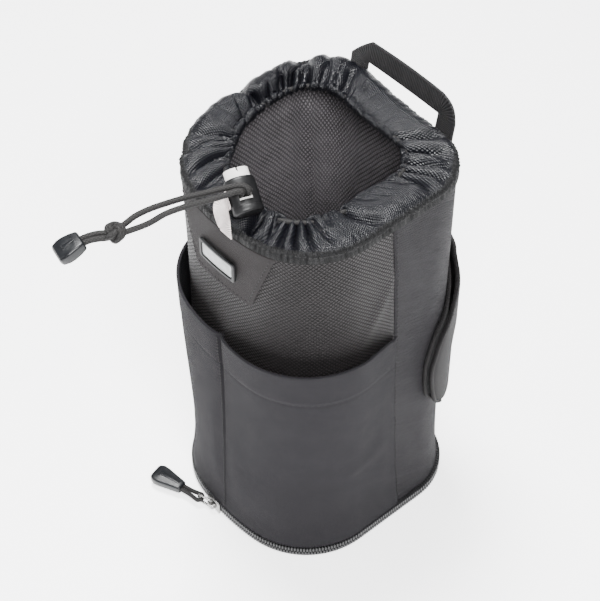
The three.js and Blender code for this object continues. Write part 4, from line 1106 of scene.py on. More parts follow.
# Each finish: how it is made, its colour and what else its maker asks for
FINISHES = {
    "shell weave": (embossed_finish, "shell", dict(squat=0.5, rough=0.42)),
    "lining weave": (embossed_finish, "lining", dict(squat=0.66, rough=0.4)),
    "side cloth": (plain_finish, "twill", dict(threads=1.3, rough=0.6, streak=0.36, depth=0.0004)),
    "stretch cloth": (plain_finish, "stretch", dict(threads=0.7, rough=0.7, streak=0.16, depth=0.00014)),
    "patch cloth": (plain_finish, "patch", dict(threads=0.6, rough=0.65, streak=0.08, depth=0.00008)),
    "collar nylon": (nylon_finish, "nylon", {}),
    "handle webbing": (ribbed_finish, "webbing", dict(pitch=0.0011, rough=0.6)),
    "zip tape": (ribbed_finish, "tape", dict(pitch=0.0009, rough=0.7)),
    "rim tape": (ribbed_finish, "binding", dict(pitch=0.0012, rough=0.7)),
    "edge binding": (ribbed_finish, "flap", dict(pitch=0.0012, rough=0.7, shade=0.8)),
    "flap cloth": (ribbed_finish, "flap", dict(pitch=0.0013, rough=0.75, across=True)),
    "white ribbon": (ribbed_finish, "ribbon", dict(pitch=0.0005, rough=0.75, depth=0.00005)),
    "braided cord": (braid_finish, "cord", {}),
    "sewing thread": (thread_finish, "thread", {}),
    "brushed pile": (pile_finish, "pile", dict(scale=900.0, depth=0.0004)),
    "hook tape": (pile_finish, "pile", dict(scale=1300.0, depth=0.0005)),
    "closed-cell foam": (foam_finish, "foam", {}),
    "black moulding": (moulded_finish, "plastic", dict(rough=0.38)),
    "grip moulding": (moulded_finish, "grip", dict(rough=0.27)),
    "white moulding": (moulded_finish, "white", dict(rough=0.35, coat=0.1)),
    "badge rubber": (moulded_finish, "rubber", dict(rough=0.5)),
    "zip teeth": (moulded_finish, "teeth", dict(rough=0.38, coat=0.1, scale=2600.0, grain=0.00002)),
    "plated zinc": (metal_finish, "metal", dict(rough=0.2)),
    "badge foil": (foil_finish, "foil", {}),
}
MADE = {}


def finish(name):
    """The finish of that name, made the first time that it is asked for."""
    if name not in MADE:
        make, tone, values = FINISHES[name]
        MADE[name] = make(name, getattr(colours(), tone), **values)
    return MADE[name]


class PieceOperator:
    """What the operators of this file share."""

    bl_options = {"REGISTER", "UNDO"}

    def execute(self, context):
        self.make()
        return {"FINISHED"}


class POUCH_OT_stage(PieceOperator, bpy.types.Operator):
    """Place the camera, the floor and the soft lights"""

    bl_idname = "pouch.stage"
    bl_label = "Stage"

    def make(self):
        stage = bpy.context.scene.pouch_stage
        flat = math.cos(stage.rise)
        back = Vector((math.sin(stage.turn) * flat, -math.cos(stage.turn) * flat, math.sin(stage.rise)))
        aim = Vector(stage.aim)
        data = bpy.data.cameras.new("camera")
        data.lens = stage.lens
        data.sensor_width = 36
        camera = bpy.data.objects.new("camera", data)
        bpy.context.scene.collection.objects.link(camera)
        camera.location = aim + back * stage.distance
        look = (-back).to_track_quat("-Z", "Y")
        camera.rotation_euler = (look @ Matrix.Rotation(stage.roll, 3, "Z").to_quaternion()).to_euler()
        bpy.context.scene.camera = camera
        floor = primitive("floor", bpy.ops.mesh.primitive_plane_add, size=8, location=(0, 0, -0.0002))
        settle(floor)
        floor.data.materials.append(floor_finish())
        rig.stage(floor)
        self.softbox("key", stage.key, 0.5, Vector((0.66, -0.42, 1.15)), aim)
        self.softbox("top", stage.top, 0.42, Vector((-0.35, 0.1, 1.45)), aim)
        self.softbox("fill", stage.fill, 1.0, Vector((-0.6, -1.1, 0.75)), aim)
        world = bpy.data.worlds.new("surroundings")
        world.use_nodes = True
        backdrop = world.node_tree.nodes["Background"]
        backdrop.inputs["Color"].default_value = (1, 1, 1, 1)
        backdrop.inputs["Strength"].default_value = stage.world
        bpy.context.scene.world = world

    def softbox(self, name, power, size, place, aim):
        data = bpy.data.lights.new(name, "AREA")
        data.energy = power
        data.size = size
        light = bpy.data.objects.new(name, data)
        bpy.context.scene.collection.objects.link(light)
        light.location = place
        light.rotation_euler = (aim - place).to_track_quat("-Z", "Y").to_euler()


def frame_matrix(x, y, z, place):
    """The matrix of a frame, from its three axes and its place."""
    made = np.eye(4)
    made[:3] = np.stack([x, y, z, place], axis=1)
    return Matrix(made.tolist())


class Lock:
    """The cord lock's own frame: across its barrel, out of its face and along its axis."""

    def __init__(self):
        axis = np.array([0.83, -0.31, -0.46])
        self.axis = axis / np.linalg.norm(axis)
        across = np.array([-axis[1], axis[0], 0.0])
        self.across = across / np.linalg.norm(across)
        self.face = np.cross(self.axis, self.across)
        self.place = np.array([0.0059, -0.0517, 0.2585])

    def at(self, across, face, axial):
        return self.place + across * self.across + face * self.face + axial * self.axis

    def matrix(self):
        return frame_matrix(self.across, self.face, self.axis, self.place)


# The collar's plain section from its seam over its crest into the hem: its seat on the seam, shares of the
# way in, of the bulge and of the crest's height, and the hem's turns in degrees with its radius
COLLAR_SEAT = 0.0007
COLLAR_IN = [0, 0, 0.06, 0.26, 0.48, 0.7, 1, 1, 1, 1, 1, 1, 1, 1]
COLLAR_BULGE = [0, 1, 0.6, 0, 0, 0, 0, 0, 0, 0, 0, 0, 0, 0]
COLLAR_UP = [0, 0.34, 0.76, 0.98, 1, 0.93, 0, 0, 0, 0, 0, 0, 0, 0]
HEM_TURNS = [120, 76, 32, -12, -56, -100, -144, -190]
HEM_RADIUS = 0.0026


def spline_shares(values, count):
    """Values at even steps of a smooth curve through a list of numbers."""
    values = np.asarray(values, float)
    values = np.concatenate([[2 * values[0] - values[1]], values, [2 * values[-1] - values[-2]]])
    at = np.linspace(0, len(values) - 3 - 1e-9, count)
    i = at.astype(int)
    t = at - i
    a, b, c, d = (values[i + k] for k in range(4))
    return 0.5 * (2 * b + (c - a) * t + (2 * a - 5 * b + 4 * c - d) * t**2 + (3 * b - 3 * c + d - a) * t**3)


class Collar:
    """The gathered collar's section at each place round the rim."""

    def __init__(self, rows):
        turns = np.radians(HEM_TURNS)
        shrink = np.array([1, 1, 1, 1, 1, 1, 0.96, 0.82])
        in_hem = np.array([0] * 6 + [1] * 8)
        self.wall = Wall()
        self.inwards = spline_shares(COLLAR_IN, rows)
        self.bulge = spline_shares(COLLAR_BULGE, rows)
        self.upwards = spline_shares(COLLAR_UP, rows)
        self.hem = spline_shares(in_hem, rows)
        self.round_in = spline_shares([0] * 6 + list(HEM_RADIUS * shrink * np.cos(turns)), rows)
        self.round_up = spline_shares([0] * 6 + list(HEM_RADIUS * shrink * np.sin(turns)), rows)
        self.share = np.linspace(0, 1, rows)

    def around(self, along, middle, spread):
        """A soft peak at a direction round the pouch, in degrees."""
        root = self.wall.at(along, -0.0006, self.wall.sizes.wall_top)
        turn = np.degrees(np.arctan2(root[..., 1], root[..., 0]))
        apart = (turn - middle + 180) % 360 - 180
        return mound(apart, spread)

    def frame(self, along):
        root = self.wall.at(along, -0.0006, self.wall.sizes.wall_top)
        mouth = root[..., :2] * 0.7 + np.array([-0.0041, -0.0019])
        inward = mouth - root[..., :2]
        deep = np.linalg.norm(inward, axis=-1)
        reach = deep + 0.0072 * self.around(along, -138, 27)
        hump = self.around(along, 160, 55)
        dip = mound(self.wall.near(along), 0.034)
        crest = 0.007 + 0.0105 * hump - 0.0024 * dip
        return root, inward / deep[..., None], reach, hump, crest, 0.0037 + 0.005 * hump

    def point(self, along, across, up):
        root, inward = self.frame(along)[:2]
        flat = root[..., :2] + inward * across[..., None]
        return np.concatenate([flat, (self.wall.sizes.wall_top + up)[..., None]], axis=-1)

    def hem_centre(self, along):
        along = np.asarray(along, float)
        _, _, reach, _, _, hem = self.frame(along)
        return self.point(along, reach, hem)

    def surface(self, along, height):
        """Points of the cloth for a grid of lengths round and its height off the plain section."""
        _, _, reach, hump, crest, hem = self.frame(along)
        across = self.inwards * reach - self.bulge * 0.0022 * hump + self.round_in
        up = self.upwards * (crest - COLLAR_SEAT) + (1 - self.hem) * COLLAR_SEAT
        up = up + self.hem * hem + self.round_up
        run_in, run_up = np.gradient(across, axis=1), np.gradient(up, axis=1)
        long_ = np.hypot(run_in, run_up) + 1e-12
        return self.point(along, across - run_up / long_ * height, up + run_in / long_ * height)


# Folds seen round the mouth, in millimetres: where each meets the hem, how far it has run to one side
# by the seam, how deep it is, how wide, and the share of the way up from the seam at which it starts
FOLDS = [
    (-204, 3, 1.2, 5, 0.35),
    (-177, 4, 3.6, 3, 0.12),
    (-170, -3, 1.8, 2, 0.2),
    (-162, 5, 3.2, 2.6, 0.1),
    (-156, -4, 2.0, 1.8, 0.25),
    (-149, 4, 4.8, 2.8, 0.06),
    (-143, -2, 2.6, 1.8, 0.2),
    (-136, -5, 4.8, 2.6, 0.06),
    (-130, 4, 3.2, 2, 0.14),
    (-124, -3, 2.2, 1.6, 0.3),
    (-118, 3, 2.2, 1.6, 0.3),
    (-111, 13, 4.6, 2.8, 0.05),
    (-103, 6, 1.8, 2.2, 0.3),
    (-88, -8, 1.6, 4, 0.25),
    (-71, 12, 3.2, 2.8, 0.08),
    (-61, 9, 4.2, 2.4, 0.06),
    (-53, 5, 2.8, 2, 0.1),
    (-46, 12, 3.6, 2.4, 0.06),
    (-37, 2, 2.6, 2, 0.2),
    (-29, 7, 3.4, 2.4, 0.08),
    (-18, -4, 2.6, 2.2, 0.15),
    (-8, 5, 3.2, 2.4, 0.1),
    (3, -4, 2.6, 2.2, 0.12),
    (14, 6, 3.0, 2.4, 0.1),
    (25, -6, 3.0, 2.2, 0.1),
    (41, -17, 4.4, 2.6, 0.04),
    (44, -8, 5.0, 2.2, 0.04),
    (47, -1, 4.6, 2.0, 0.05),
    (50, 7, 4.0, 2.2, 0.06),
    (54, 15, 3.4, 2.6, 0.12),
    (66, 6, 1.8, 3, 0.3),
    (84, 12, 4.6, 3, 0.1),
    (97, 18, 1.2, 5, 0.3),
    (124, 12, 1.4, 4, 0.25),
    (139, -9, 3.4, 2.6, 0.1),
    (143, -1, 4.2, 2.2, 0.06),
    (147, 6, 3.8, 2.4, 0.06),
    (156, 10, 2.6, 2.4, 0.12),
    (166, -9, 4.6, 2.6, 0.08),
    (172, 6, 4.0, 2.2, 0.1),
    (180, -7, 3.0, 2.8, 0.15),
    (193, 9, 1.6, 5, 0.3),
]


class Gathers:
    """Creases of the collar: the large folds, and finer irregular ones between them."""

    def __init__(self, collar):
        s = sizes()
        self.collar = collar
        self.round = 2 * collar.wall.half
        self.dice = np.random.default_rng(11)
        self.main = []
        for hem, run, deep, wide, start in FOLDS:
            self.main.append((hem / 1000, run / 1000, 0.0008, deep / 1000, wide / 1000, start))
        self.fine = self.lines(s.gathers * 3, s.gather_depth * 0.36, (0.1, 0.6), 0.22, 0.006)
        self.puckers = self.lines(s.gathers * 5, s.gather_depth * 0.2, (0.0, 0.0), 0.26, 0.002)

    def lines(self, count, depth, starts, width, run):
        """Irregular creases: hem place, sideways run, wobble, depth, width and start."""
        dice, spacing = self.dice, self.round / count
        made = []
        for k in range(count):
            place = (k + dice.uniform(-0.42, 0.42)) * spacing
            deep = depth * dice.uniform(0.3, 1.3)
            wide = spacing * width * dice.uniform(0.6, 1.4)
            made.append((place, dice.normal(0, run), 0.0006, deep, wide, dice.uniform(*starts)))
        return made

    def valley(self, along, share, line):
        """How deep in one crease each place lies, from 0 to 1."""
        place, run, wobble, deep, wide, start = line
        down = np.clip((0.62 - share) / 0.5, 0, 1)
        centre = place + run * down + wobble * np.sin(share * 11 + place * 300)
        apart = (along - centre + self.round / 2) % self.round - self.round / 2
        spread = wide * (0.55 + 0.9 * down)
        return deep, start, np.exp(-np.sqrt((apart / spread) ** 2 + 0.04) + 0.2)

    def height(self, along, share):
        """How far the cloth stands off its plain section."""
        around = self.collar.around
        calm = 0.85 * around(along, 84, 24) + 0.75 * around(along, -12, 18)
        busy = 0.9 * around(along, 150, 24) + 0.5 * around(along, -50, 14) + 0.5 * around(along, 48, 16)
        at_hem = ease((share - 0.5) / 0.14)
        total = np.zeros_like(along)
        for line in self.main:
            deep, start, dent = self.valley(along, share, line)
            total -= 1.3 * deep * dent * ease((share - start) / 0.16) * (1 - 0.6 * at_hem)
        total = np.maximum(total, -0.0068 + 0.0032 * at_hem)
        for line in self.fine:
            deep, start, dent = self.valley(along, share, line)
            total -= (1 - calm + busy) * deep * dent * ease((share - start) / 0.15) * (0.8 - 0.5 * at_hem)
        for line in self.puckers:
            deep, start, dent = self.valley(along, share, line)
            total -= deep * dent * ease(share / 0.02) * (1 - ease((share - 0.12) / 0.14))
        swell = np.sin(along / 0.0135 + 1.7) + 0.7 * np.sin(along / 0.0083 + 4 * share)
        slack = ease(share / 0.25) * (1 - ease((share - 0.5) / 0.18))
        total += (1 - calm) * (0.0019 + 0.0007 * swell) * slack
        crimp = np.sin(2 * np.pi * along / 0.0027 + 3 * np.sin(along / 0.013))
        start, end = ease(share / 0.03), 1 - ease((share - 0.1) / 0.06)
        lip = 0.0009 + 0.0006 * (1 - start)
        total += 0.00026 * crimp * start * end + lip * end - 0.0005 * mound(share - 0.125, 0.014)
        return total

    def drift(self, along, share):
        """How far the cloth is pulled sideways."""
        pull = 0.003 * np.sin(along / 0.024 + 0.8) + 0.0015 * np.sin(along / 0.011 + 2.1)
        return pull * ease((share - 0.15) / 0.4) * (1 - 0.6 * ease((share - 0.6) / 0.2))


class POUCH_OT_panels(PieceOperator, bpy.types.Operator):
    """Sew the front, side and back panels, turned in at their seams"""

    bl_idname = "pouch.panels"
    bl_label = "Shell panels"

    def make(self):
        s, wall = sizes(), Wall()
        seam_front = lambda z: wall.seam(z) - GAP / 2
        seam_side = lambda z: wall.seam(z) + GAP / 2
        corner_side = steady(wall.back_seam - GAP / 2)
        corner_back = wall.back_seam + GAP / 2
        other = lambda edge: lambda z: -edge(z)
        parts = [
            ("front_panel", other(seam_front), seam_front, "shell", 120),
            ("side_panel_right", seam_side, corner_side, "side", 56),
            ("side_panel_left", other(corner_side), other(seam_side), "side", 56),
            ("back_panel", steady(corner_back), steady(2 * wall.half - corner_back), "side", 60),
        ]
        looks = {"shell": ("shell weave", "shell_weave"), "side": ("side cloth", "shell_twill")}
        inner = steady(-s.shell)
        for node, start, end, cloth, columns in parts:
            name = f"{node}_cloth"
            piece = wall_sheet(name, (start, end), self.outer, inner, s.wall_low, s.wall_top, columns, 110)
            dress(piece, "pouch", *looks[cloth], node)
            wide = float(end(s.wall_top / 2) - start(s.wall_top / 2))
            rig.sheet(piece, (wide, s.wall_top - s.wall_low), "stretched")

    @staticmethod
    def outer(along, z):
        """The outer face, turned in at the side and back seams."""
        wall = Wall()
        rest = np.abs(wall.near(along))
        return -0.0008 * (mound(rest - wall.seam(z), 0.0009) + mound(rest - wall.back_seam, 0.0009)) + 0 * z


class POUCH_OT_padding(PieceOperator, bpy.types.Operator):
    """Fit the foam, the lining and the tape round the rim"""

    bl_idname = "pouch.padding"
    bl_label = "Padding and lining"

    def make(self):
        s, half = sizes(), Wall().half
        low, high, foam_in = 0.0153, 0.2396, 0.0015
        foam_out, face = steady(-foam_in), steady(-foam_in - s.foam)
        foam = wall_sheet("foam_sleeve", None, foam_out, face, low, high, 200, 60)
        dress(foam, "pouch", "closed-cell foam", "padding", "foam_padding")
        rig.padded(foam, 0.6)
        back = steady(s.lining - LINING_FACE)
        lining = wall_sheet("lining_cloth", None, back, self.inside, low, high, 300, 110)
        dress(lining, "pouch", "lining weave", "lining_cloth", "lining")
        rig.sheet(lining, (2 * half * 0.93, 0.2243), "stretched")
        tape_low, tape_high = 0.2399, 0.2427
        face = steady(-LINING_FACE)
        tape = wall_sheet("rim_tape", None, foam_out, face, tape_low, tape_high, 240, 4, Wall().at)
        dress(tape, "pouch", "rim tape", "binding_tape", "seam_binding")
        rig.sheet(tape, (2 * half * 0.94, 0.01), "folded", area=2 * half * 0.94 * 0.0075)

    @staticmethod
    def inside(along, z):
        """The lining's inner face, with soft waves and a crease down its back left corner."""
        wall = Wall()
        rest = wall.near(along)
        calm = ease((z - 0.02) / 0.03) * ease((0.2385 - z) / 0.012)
        wave = np.sin(rest / 0.021 + z / 0.06) + 0.6 * np.sin(rest / 0.011 - z / 0.035 + 1.2)
        crease = mound(rest + wall.stops[2] + 0.018 + 0.004 * np.sin(z / 0.05), 0.004)
        return -LINING_FACE - calm * (0.0009 * (wave + 1.6) + 0.0026 * crease)


class POUCH_OT_base(PieceOperator, bpy.types.Operator):
    """Lay the base cloth, its foam, its lining and the folded sleeve that lets the base drop"""

    bl_idname = "pouch.base"
    bl_label = "Base and sleeve"

    def make(self):
        s, wall = sizes(), Wall()
        panel_out, inside = 0.0009, -(0.0035 + 0.0008 + GAP)
        panel = plate("base_cloth", panel_out, 0.0, 0.0, 0.0012, 0.0006)
        dress(panel, "base", "side cloth", "shell_twill", "base_panel")
        foam = plate("base_foam_pad", inside, SLEEVE_TOP, 0.0038, 0.0078, 0.0012)
        dress(foam, "base", "closed-cell foam", "padding", "base_foam")
        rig.padded(foam, 0.7)
        lining = plate("base_lining_cloth", inside, SLEEVE_TOP, 0.0081, 0.0089, 0.0004)
        dress(lining, "base", "lining weave", "lining_cloth", "base_lining")
        for piece, out in ((panel, panel_out), (lining, inside)):
            wide, deep = 2 * (s.half_width + out), s.wall_front + s.wall_back + 2 * out
            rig.sheet(piece, (wide, deep), "stretched", area=wide * deep * 0.9)
        board = bpy.data.objects["base_board"]
        board.data.materials.clear()
        board.data.materials.append(finish("black moulding"))
        outer = lambda along, z: -0.0035 + self.pleat(z)
        inner = lambda along, z: -0.0043 + self.pleat(z)
        sleeve = wall_sheet("base_sleeve", None, outer, inner, SLEEVE_LOW, SLEEVE_TOP, 200, 24, wall.at)
        sleeve.data.materials.append(finish("collar nylon"))
        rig.slot(sleeve, "thin_nylon")
        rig.replaces(sleeve, "base_gusset")
        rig.blend(sleeve, "pouch", "base", (0, 0, SLEEVE_TOP), (0, 0, SLEEVE_LOW))
        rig.sheet(sleeve, (2 * wall.half * 0.94, 0.0135), "folded")

    @staticmethod
    def pleat(z):
        """Soft folds of the sleeve that waits behind the zip."""
        share = (z - SLEEVE_LOW) / 0.0135
        return -0.00035 + 0.00035 * np.cos(share * 6 * np.pi) * np.sin(np.pi * np.clip(share, 0, 1))


class POUCH_OT_zip(PieceOperator, bpy.types.Operator):
    """Run the two zip tapes and their teeth round the foot"""

    bl_idname = "pouch.zip"
    bl_label = "Zip"

    def make(self):
        s, wall = sizes(), Wall()
        outer, inner = steady(-0.0006), steady(-0.0013)
        rows = [("upper", "pouch", 0.0055, 0.015, 0.0069, 0.0)]
        rows += [("lower", "base", 0.0015, 0.0045, 0.0037, 0.5)]
        for word, body, low, high, _, _ in rows:
            tape = wall_sheet(f"zip_tape_{word}_cloth", None, outer, inner, low, high, 200, 8, wall.at)
            dress(tape, body, "zip tape", "zip_tape", f"zip_tape_{word}")
            tall = max(high - low, 0.01)
            area = 2 * wall.half * min(high - low + 0.0004, tall)
            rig.sheet(tape, (2 * wall.half, tall), "stretched", area=area)
        count = int(2 * wall.half / s.tooth_pitch)
        along = np.arange(count) * 2 * wall.half / count
        for word, body, _, _, z, shift in rows:
            at = along + shift * s.tooth_pitch
            middle = wall.at(at, 0.0003, z)
            up = wall.at(at, 0.0013, z) - middle
            run = wall.at(at + 0.0005, 0.0003, z) - wall.at(at - 0.0005, 0.0003, z)
            row = copies(f"zip_teeth_{word}", self.tooth(), matrices_from(middle, run, up), 50)
            dress(row, body, "zip teeth", "zip_teeth", f"zip_chain_{word}")

    @staticmethod
    def tooth():
        """One coil tooth: a small round-backed rib that stands across the tape."""
        half = sizes().tooth_pitch * 0.38
        tooth = box_piece("tooth", (-half, -0.00142, -0.0015), (half, 0.00142, 0.0019))
        edit(tooth)
        pick_faces(tooth, lambda centre, normal: normal.z > 0.9)
        bpy.ops.mesh.inset(thickness=0.00018)
        bpy.ops.transform.resize(value=(0.7, 0.9, 1))
        done()
        return bevel(tooth, 0.0003, 2)


def slider_frame():
    """From the slider's own frame, outwards along -Y, to its place on the zip."""
    s = sizes()
    swing = Matrix.Rotation(-0.0095 / s.front_radius, 4, "Z")
    back = Matrix.Translation((0, Wall().front_y, 0))
    return back @ swing @ Matrix.Translation((0, -(s.front_radius + s.foot_flare), 0))


def pull_frame():
    """From the puller's own frame to its place in the slider's arch, turned as it lies."""
    return slider_frame() @ Matrix.Translation((0, -0.00425, 0)) @ Matrix.Rotation(math.radians(19), 4, "Z")


class POUCH_OT_slider(PieceOperator, bpy.types.Operator):
    """Cast the zip slider with its arch, and the bail that hangs in it"""

    bl_idname = "pouch.slider"
    bl_label = "Slider and bail"

    def make(self):
        face = box_piece("slider_cast", (-0.006, -0.0033, 0.0008), (0.006, -0.0021, 0.0092))
        edit(face)
        slices(0, [-0.003, 0.0, 0.003])
        for test, share in ((lambda p: p.x < -0.0059, 0.62), (lambda p: abs(p.x + 0.003) < 0.0001, 0.86)):
            pick_points(face, test)
            bpy.ops.transform.resize(value=(1, 1, share), center_override=(0, 0, 0.005))
        done()
        bevel(face, 0.0005, 3)
        inner = box_piece("slider_inner", (-0.006, 0.0024, 0.0018), (0.006, 0.0032, 0.0075))
        bevel(inner, 0.0003, 2)
        web = box_piece("slider_web", (0.003, -0.0027, 0.0048), (0.006, 0.0028, 0.0052))
        arch = box_piece("slider_arch", (-0.0026, -0.0062, 0.0035), (0.0026, -0.003, 0.0065))
        edit(arch)
        slices(0, [-0.0014, 0.0014])
        pick_points(arch, lambda p: p.y < -0.0061 and abs(p.x) > 0.002)
        bpy.ops.transform.translate(value=(0, 0.0006, 0))
        done()
        carve(arch, box_piece("under_arch", (-0.0016, -0.0052, 0.0), (0.0016, -0.0033, 0.01)))
        bevel(arch, 0.00035, 3)
        body = weld("slider_cast", [face, inner, web, arch])
        put(body, slider_frame())
        dress(body, "slider", "plated zinc", "zip_metal", "slider_body")

        loop = box_piece("bail_cast", (-0.010, -0.00065, 0.0015), (0.0, 0.00065, 0.0085))
        window = box_piece("bail_window", (-0.0087, -0.01, 0.0028), (0.01, 0.01, 0.0072))
        for piece, end, radius in ((loop, -0.009, 0.0022), (window, 0, 0.0014)):
            edit(piece)
            pick_edges(piece, lambda middle, run: abs(run.y) > 0.9 and middle.x < end)
            bpy.ops.mesh.bevel(offset=radius, segments=5)
            done()
        carve(loop, window)
        bevel(loop, 0.0004, 3, 0.7)
        rod = bpy.ops.mesh.primitive_cylinder_add
        bar = primitive("bail_bar", rod, vertices=20, radius=0.00065, depth=0.007, location=(0, 0, 0.005))
        settle(bar)
        bail = weld("bail_cast", [loop, bar])
        put(bail, pull_frame())
        dress(bail, "puller", "plated zinc", "zip_metal", "slider_bail")


def pick_points(piece, test):
    """Selects only the points that pass the test."""
    bpy.ops.mesh.select_all(action="DESELECT")
    bpy.ops.mesh.select_mode(type="VERT")
    work = bmesh.from_edit_mesh(piece.data)
    for vert in work.verts:
        vert.select_set(bool(test(vert.co)))
    work.select_flush(True)
    bmesh.update_edit_mesh(piece.data)


def shaped_block(name, stations, rounding):
    """A block along Z, rounded, with its own width and height at each station, in millimetres."""
    stations = [[value * 0.001 for value in station] for station in stations]
    piece = box_piece(name, (-0.5, -0.5, stations[0][0]), (0.5, 0.5, stations[-1][0]))
    edit(piece)
    slices(2, [z for z, _, _ in stations[1:-1]])
    for z, wide, high in stations:
        pick_points(piece, lambda p: abs(p.z - z) < 1e-5)
        bpy.ops.transform.resize(value=(wide, high, 1), center_override=(0, 0, 0))
    done()
    return bevel(piece, rounding, 4)


def moulded_wedge(name, stations, rounding, rib, *cutters):
    """A moulded wedge with a raised rib on both faces, and sockets for its cord."""
    piece = shaped_block(name, stations, rounding)
    raised = shaped_block("rib", rib, 0.0004)
    modify(piece, "BOOLEAN", operation="UNION", object=raised, solver="EXACT")
    bpy.data.objects.remove(raised)
    carve(piece, *cutters)
    return bevel(piece, 0.00025, 2, 0.8)


class POUCH_OT_puller(PieceOperator, bpy.types.Operator):
    """Tie the puller's cord loop and mould its grip"""

    bl_idname = "pouch.puller"
    bl_label = "Puller"

    def make(self):
        frame_ = np.array(pull_frame())
        spots = [(-0.0255, -0.0014), (-0.0205, -0.0014), (-0.015, -0.0015), (-0.0112, -0.002)]
        spots += [(-0.0086, -0.00225), (-0.0071, 0)]
        spots += [(x, -y) for x, y in spots[-2::-1]]
        line = even(catmull([(x, y, 0.005) for x, y in spots], 12), 90)[0]
        loop = tube("puller_loop", line @ frame_[:3, :3].T + frame_[:3, 3], sizes().cord_radius)
        dress(loop, "puller", "braided cord", "cord_cloth", "puller_cord")

        stations = [(0, 6.5, 4.4), (2.2, 7.4, 5.2), (8, 9.6, 5.2), (14, 12.1, 5.2), (17.5, 12.5, 5.2)]
        stations += [(19.8, 10.6, 4.8), (21, 7.6, 4.2)]
        socket = box_piece("grip_socket", (-0.0031, -0.0016, -0.003), (0.0031, 0.0016, 0.0033))
        hollow = box_piece("grip_hollow", (-0.0026, -0.0011, 0.0165), (0.0026, 0.0011, 0.03))
        rib = [(3, 1.2, 5.9), (16, 2.2, 5.9)]
        grip = moulded_wedge("grip_moulding", stations, 0.0011, rib, socket, hollow)
        lie = Matrix(((0, 0, -1, -0.021), (1, 0, 0, 0), (0, -1, 0, 0.005), (0, 0, 0, 1)))
        put(grip, pull_frame() @ lie)
        dress(grip, "puller", "grip moulding", "grey_plastic", "puller_grip")


class POUCH_OT_pocket(PieceOperator, bpy.types.Operator):
    """Sew the stretch pocket with its doubled, rolled hem, gaping between its stitches"""

    bl_idname = "pouch.pocket"
    bl_label = "Stretch pocket"

    def make(self):
        s, wall = sizes(), Wall()
        edge = lambda z: wall.seam(z) - GAP / 2
        edges = (lambda z: -edge(z), edge)
        low, high = s.wall_low, wall.pocket_top
        sheet = wall_sheet("pocket_cloth", edges, self.outer, self.lie, low, high, 220, 110)
        dress(sheet, "pouch", "stretch cloth", "stretch_cloth", "stretch_pocket")
        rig.sheet(sheet, (2 * float(edge(0.08)), 0.16), "stretched")
        z = np.linspace(s.wall_low + 0.002, s.pocket_line - 0.001, 160)
        along = 0 * z - 0.0012
        sew("pocket_centre_stitches", along, self.outer(along, z), z, 0.0025, 0.0002)
        for side, word in SIDES:
            along = side * np.linspace(0.002, float(wall.seam(0.14)) - 0.002, 160)
            z = wall.pocket_top(along) - s.pocket_hem
            sew(f"pocket_hem_stitches_{word}", along, self.outer(along, z), z, 0.0032)

    @staticmethod
    def lie(along, z):
        """How far the pocket's inner face stands off, with soft sag and puckers at its centre stitch."""
        s, wall = sizes(), Wall()
        rest = np.abs(along)
        calm = ease((z - 0.02) / 0.03) * ease((wall.seam(z) - rest) / 0.012)
        foot = 0.0005 * (1 - ease((z - s.wall_low) / 0.006))
        pucker = 0.00022 * np.sin(z / 0.0028 * 2 * np.pi) * np.exp(-rest / 0.0035)
        sag = 0.0007 * calm * (1 + np.sin(along / 0.019 + z / 0.03)) * ease(rest / 0.01)
        dimple = -0.0002 * mound(rest, 0.0012)
        return GAP + wall.gape(along, z) + np.maximum(sag + pucker + dimple, -0.0001) - foot * 0.4

    @classmethod
    def outer(cls, along, z):
        """Its outer face: thicker at the doubled hem, and drawn in at the hem's stitches and the seams."""
        s, wall = sizes(), Wall()
        below = wall.pocket_top(along) - z
        doubled = 0.0003 * ease((s.pocket_hem - below) / 0.0014)
        dent = -0.00035 * mound(below - s.pocket_hem, 0.0011)
        seam = -0.0005 * mound(wall.seam(z) - np.abs(along), 0.0016)
        centre = -0.0004 * mound(along, 0.0009)
        return cls.lie(along, z) + s.pocket_cloth + doubled + dent + seam + centre


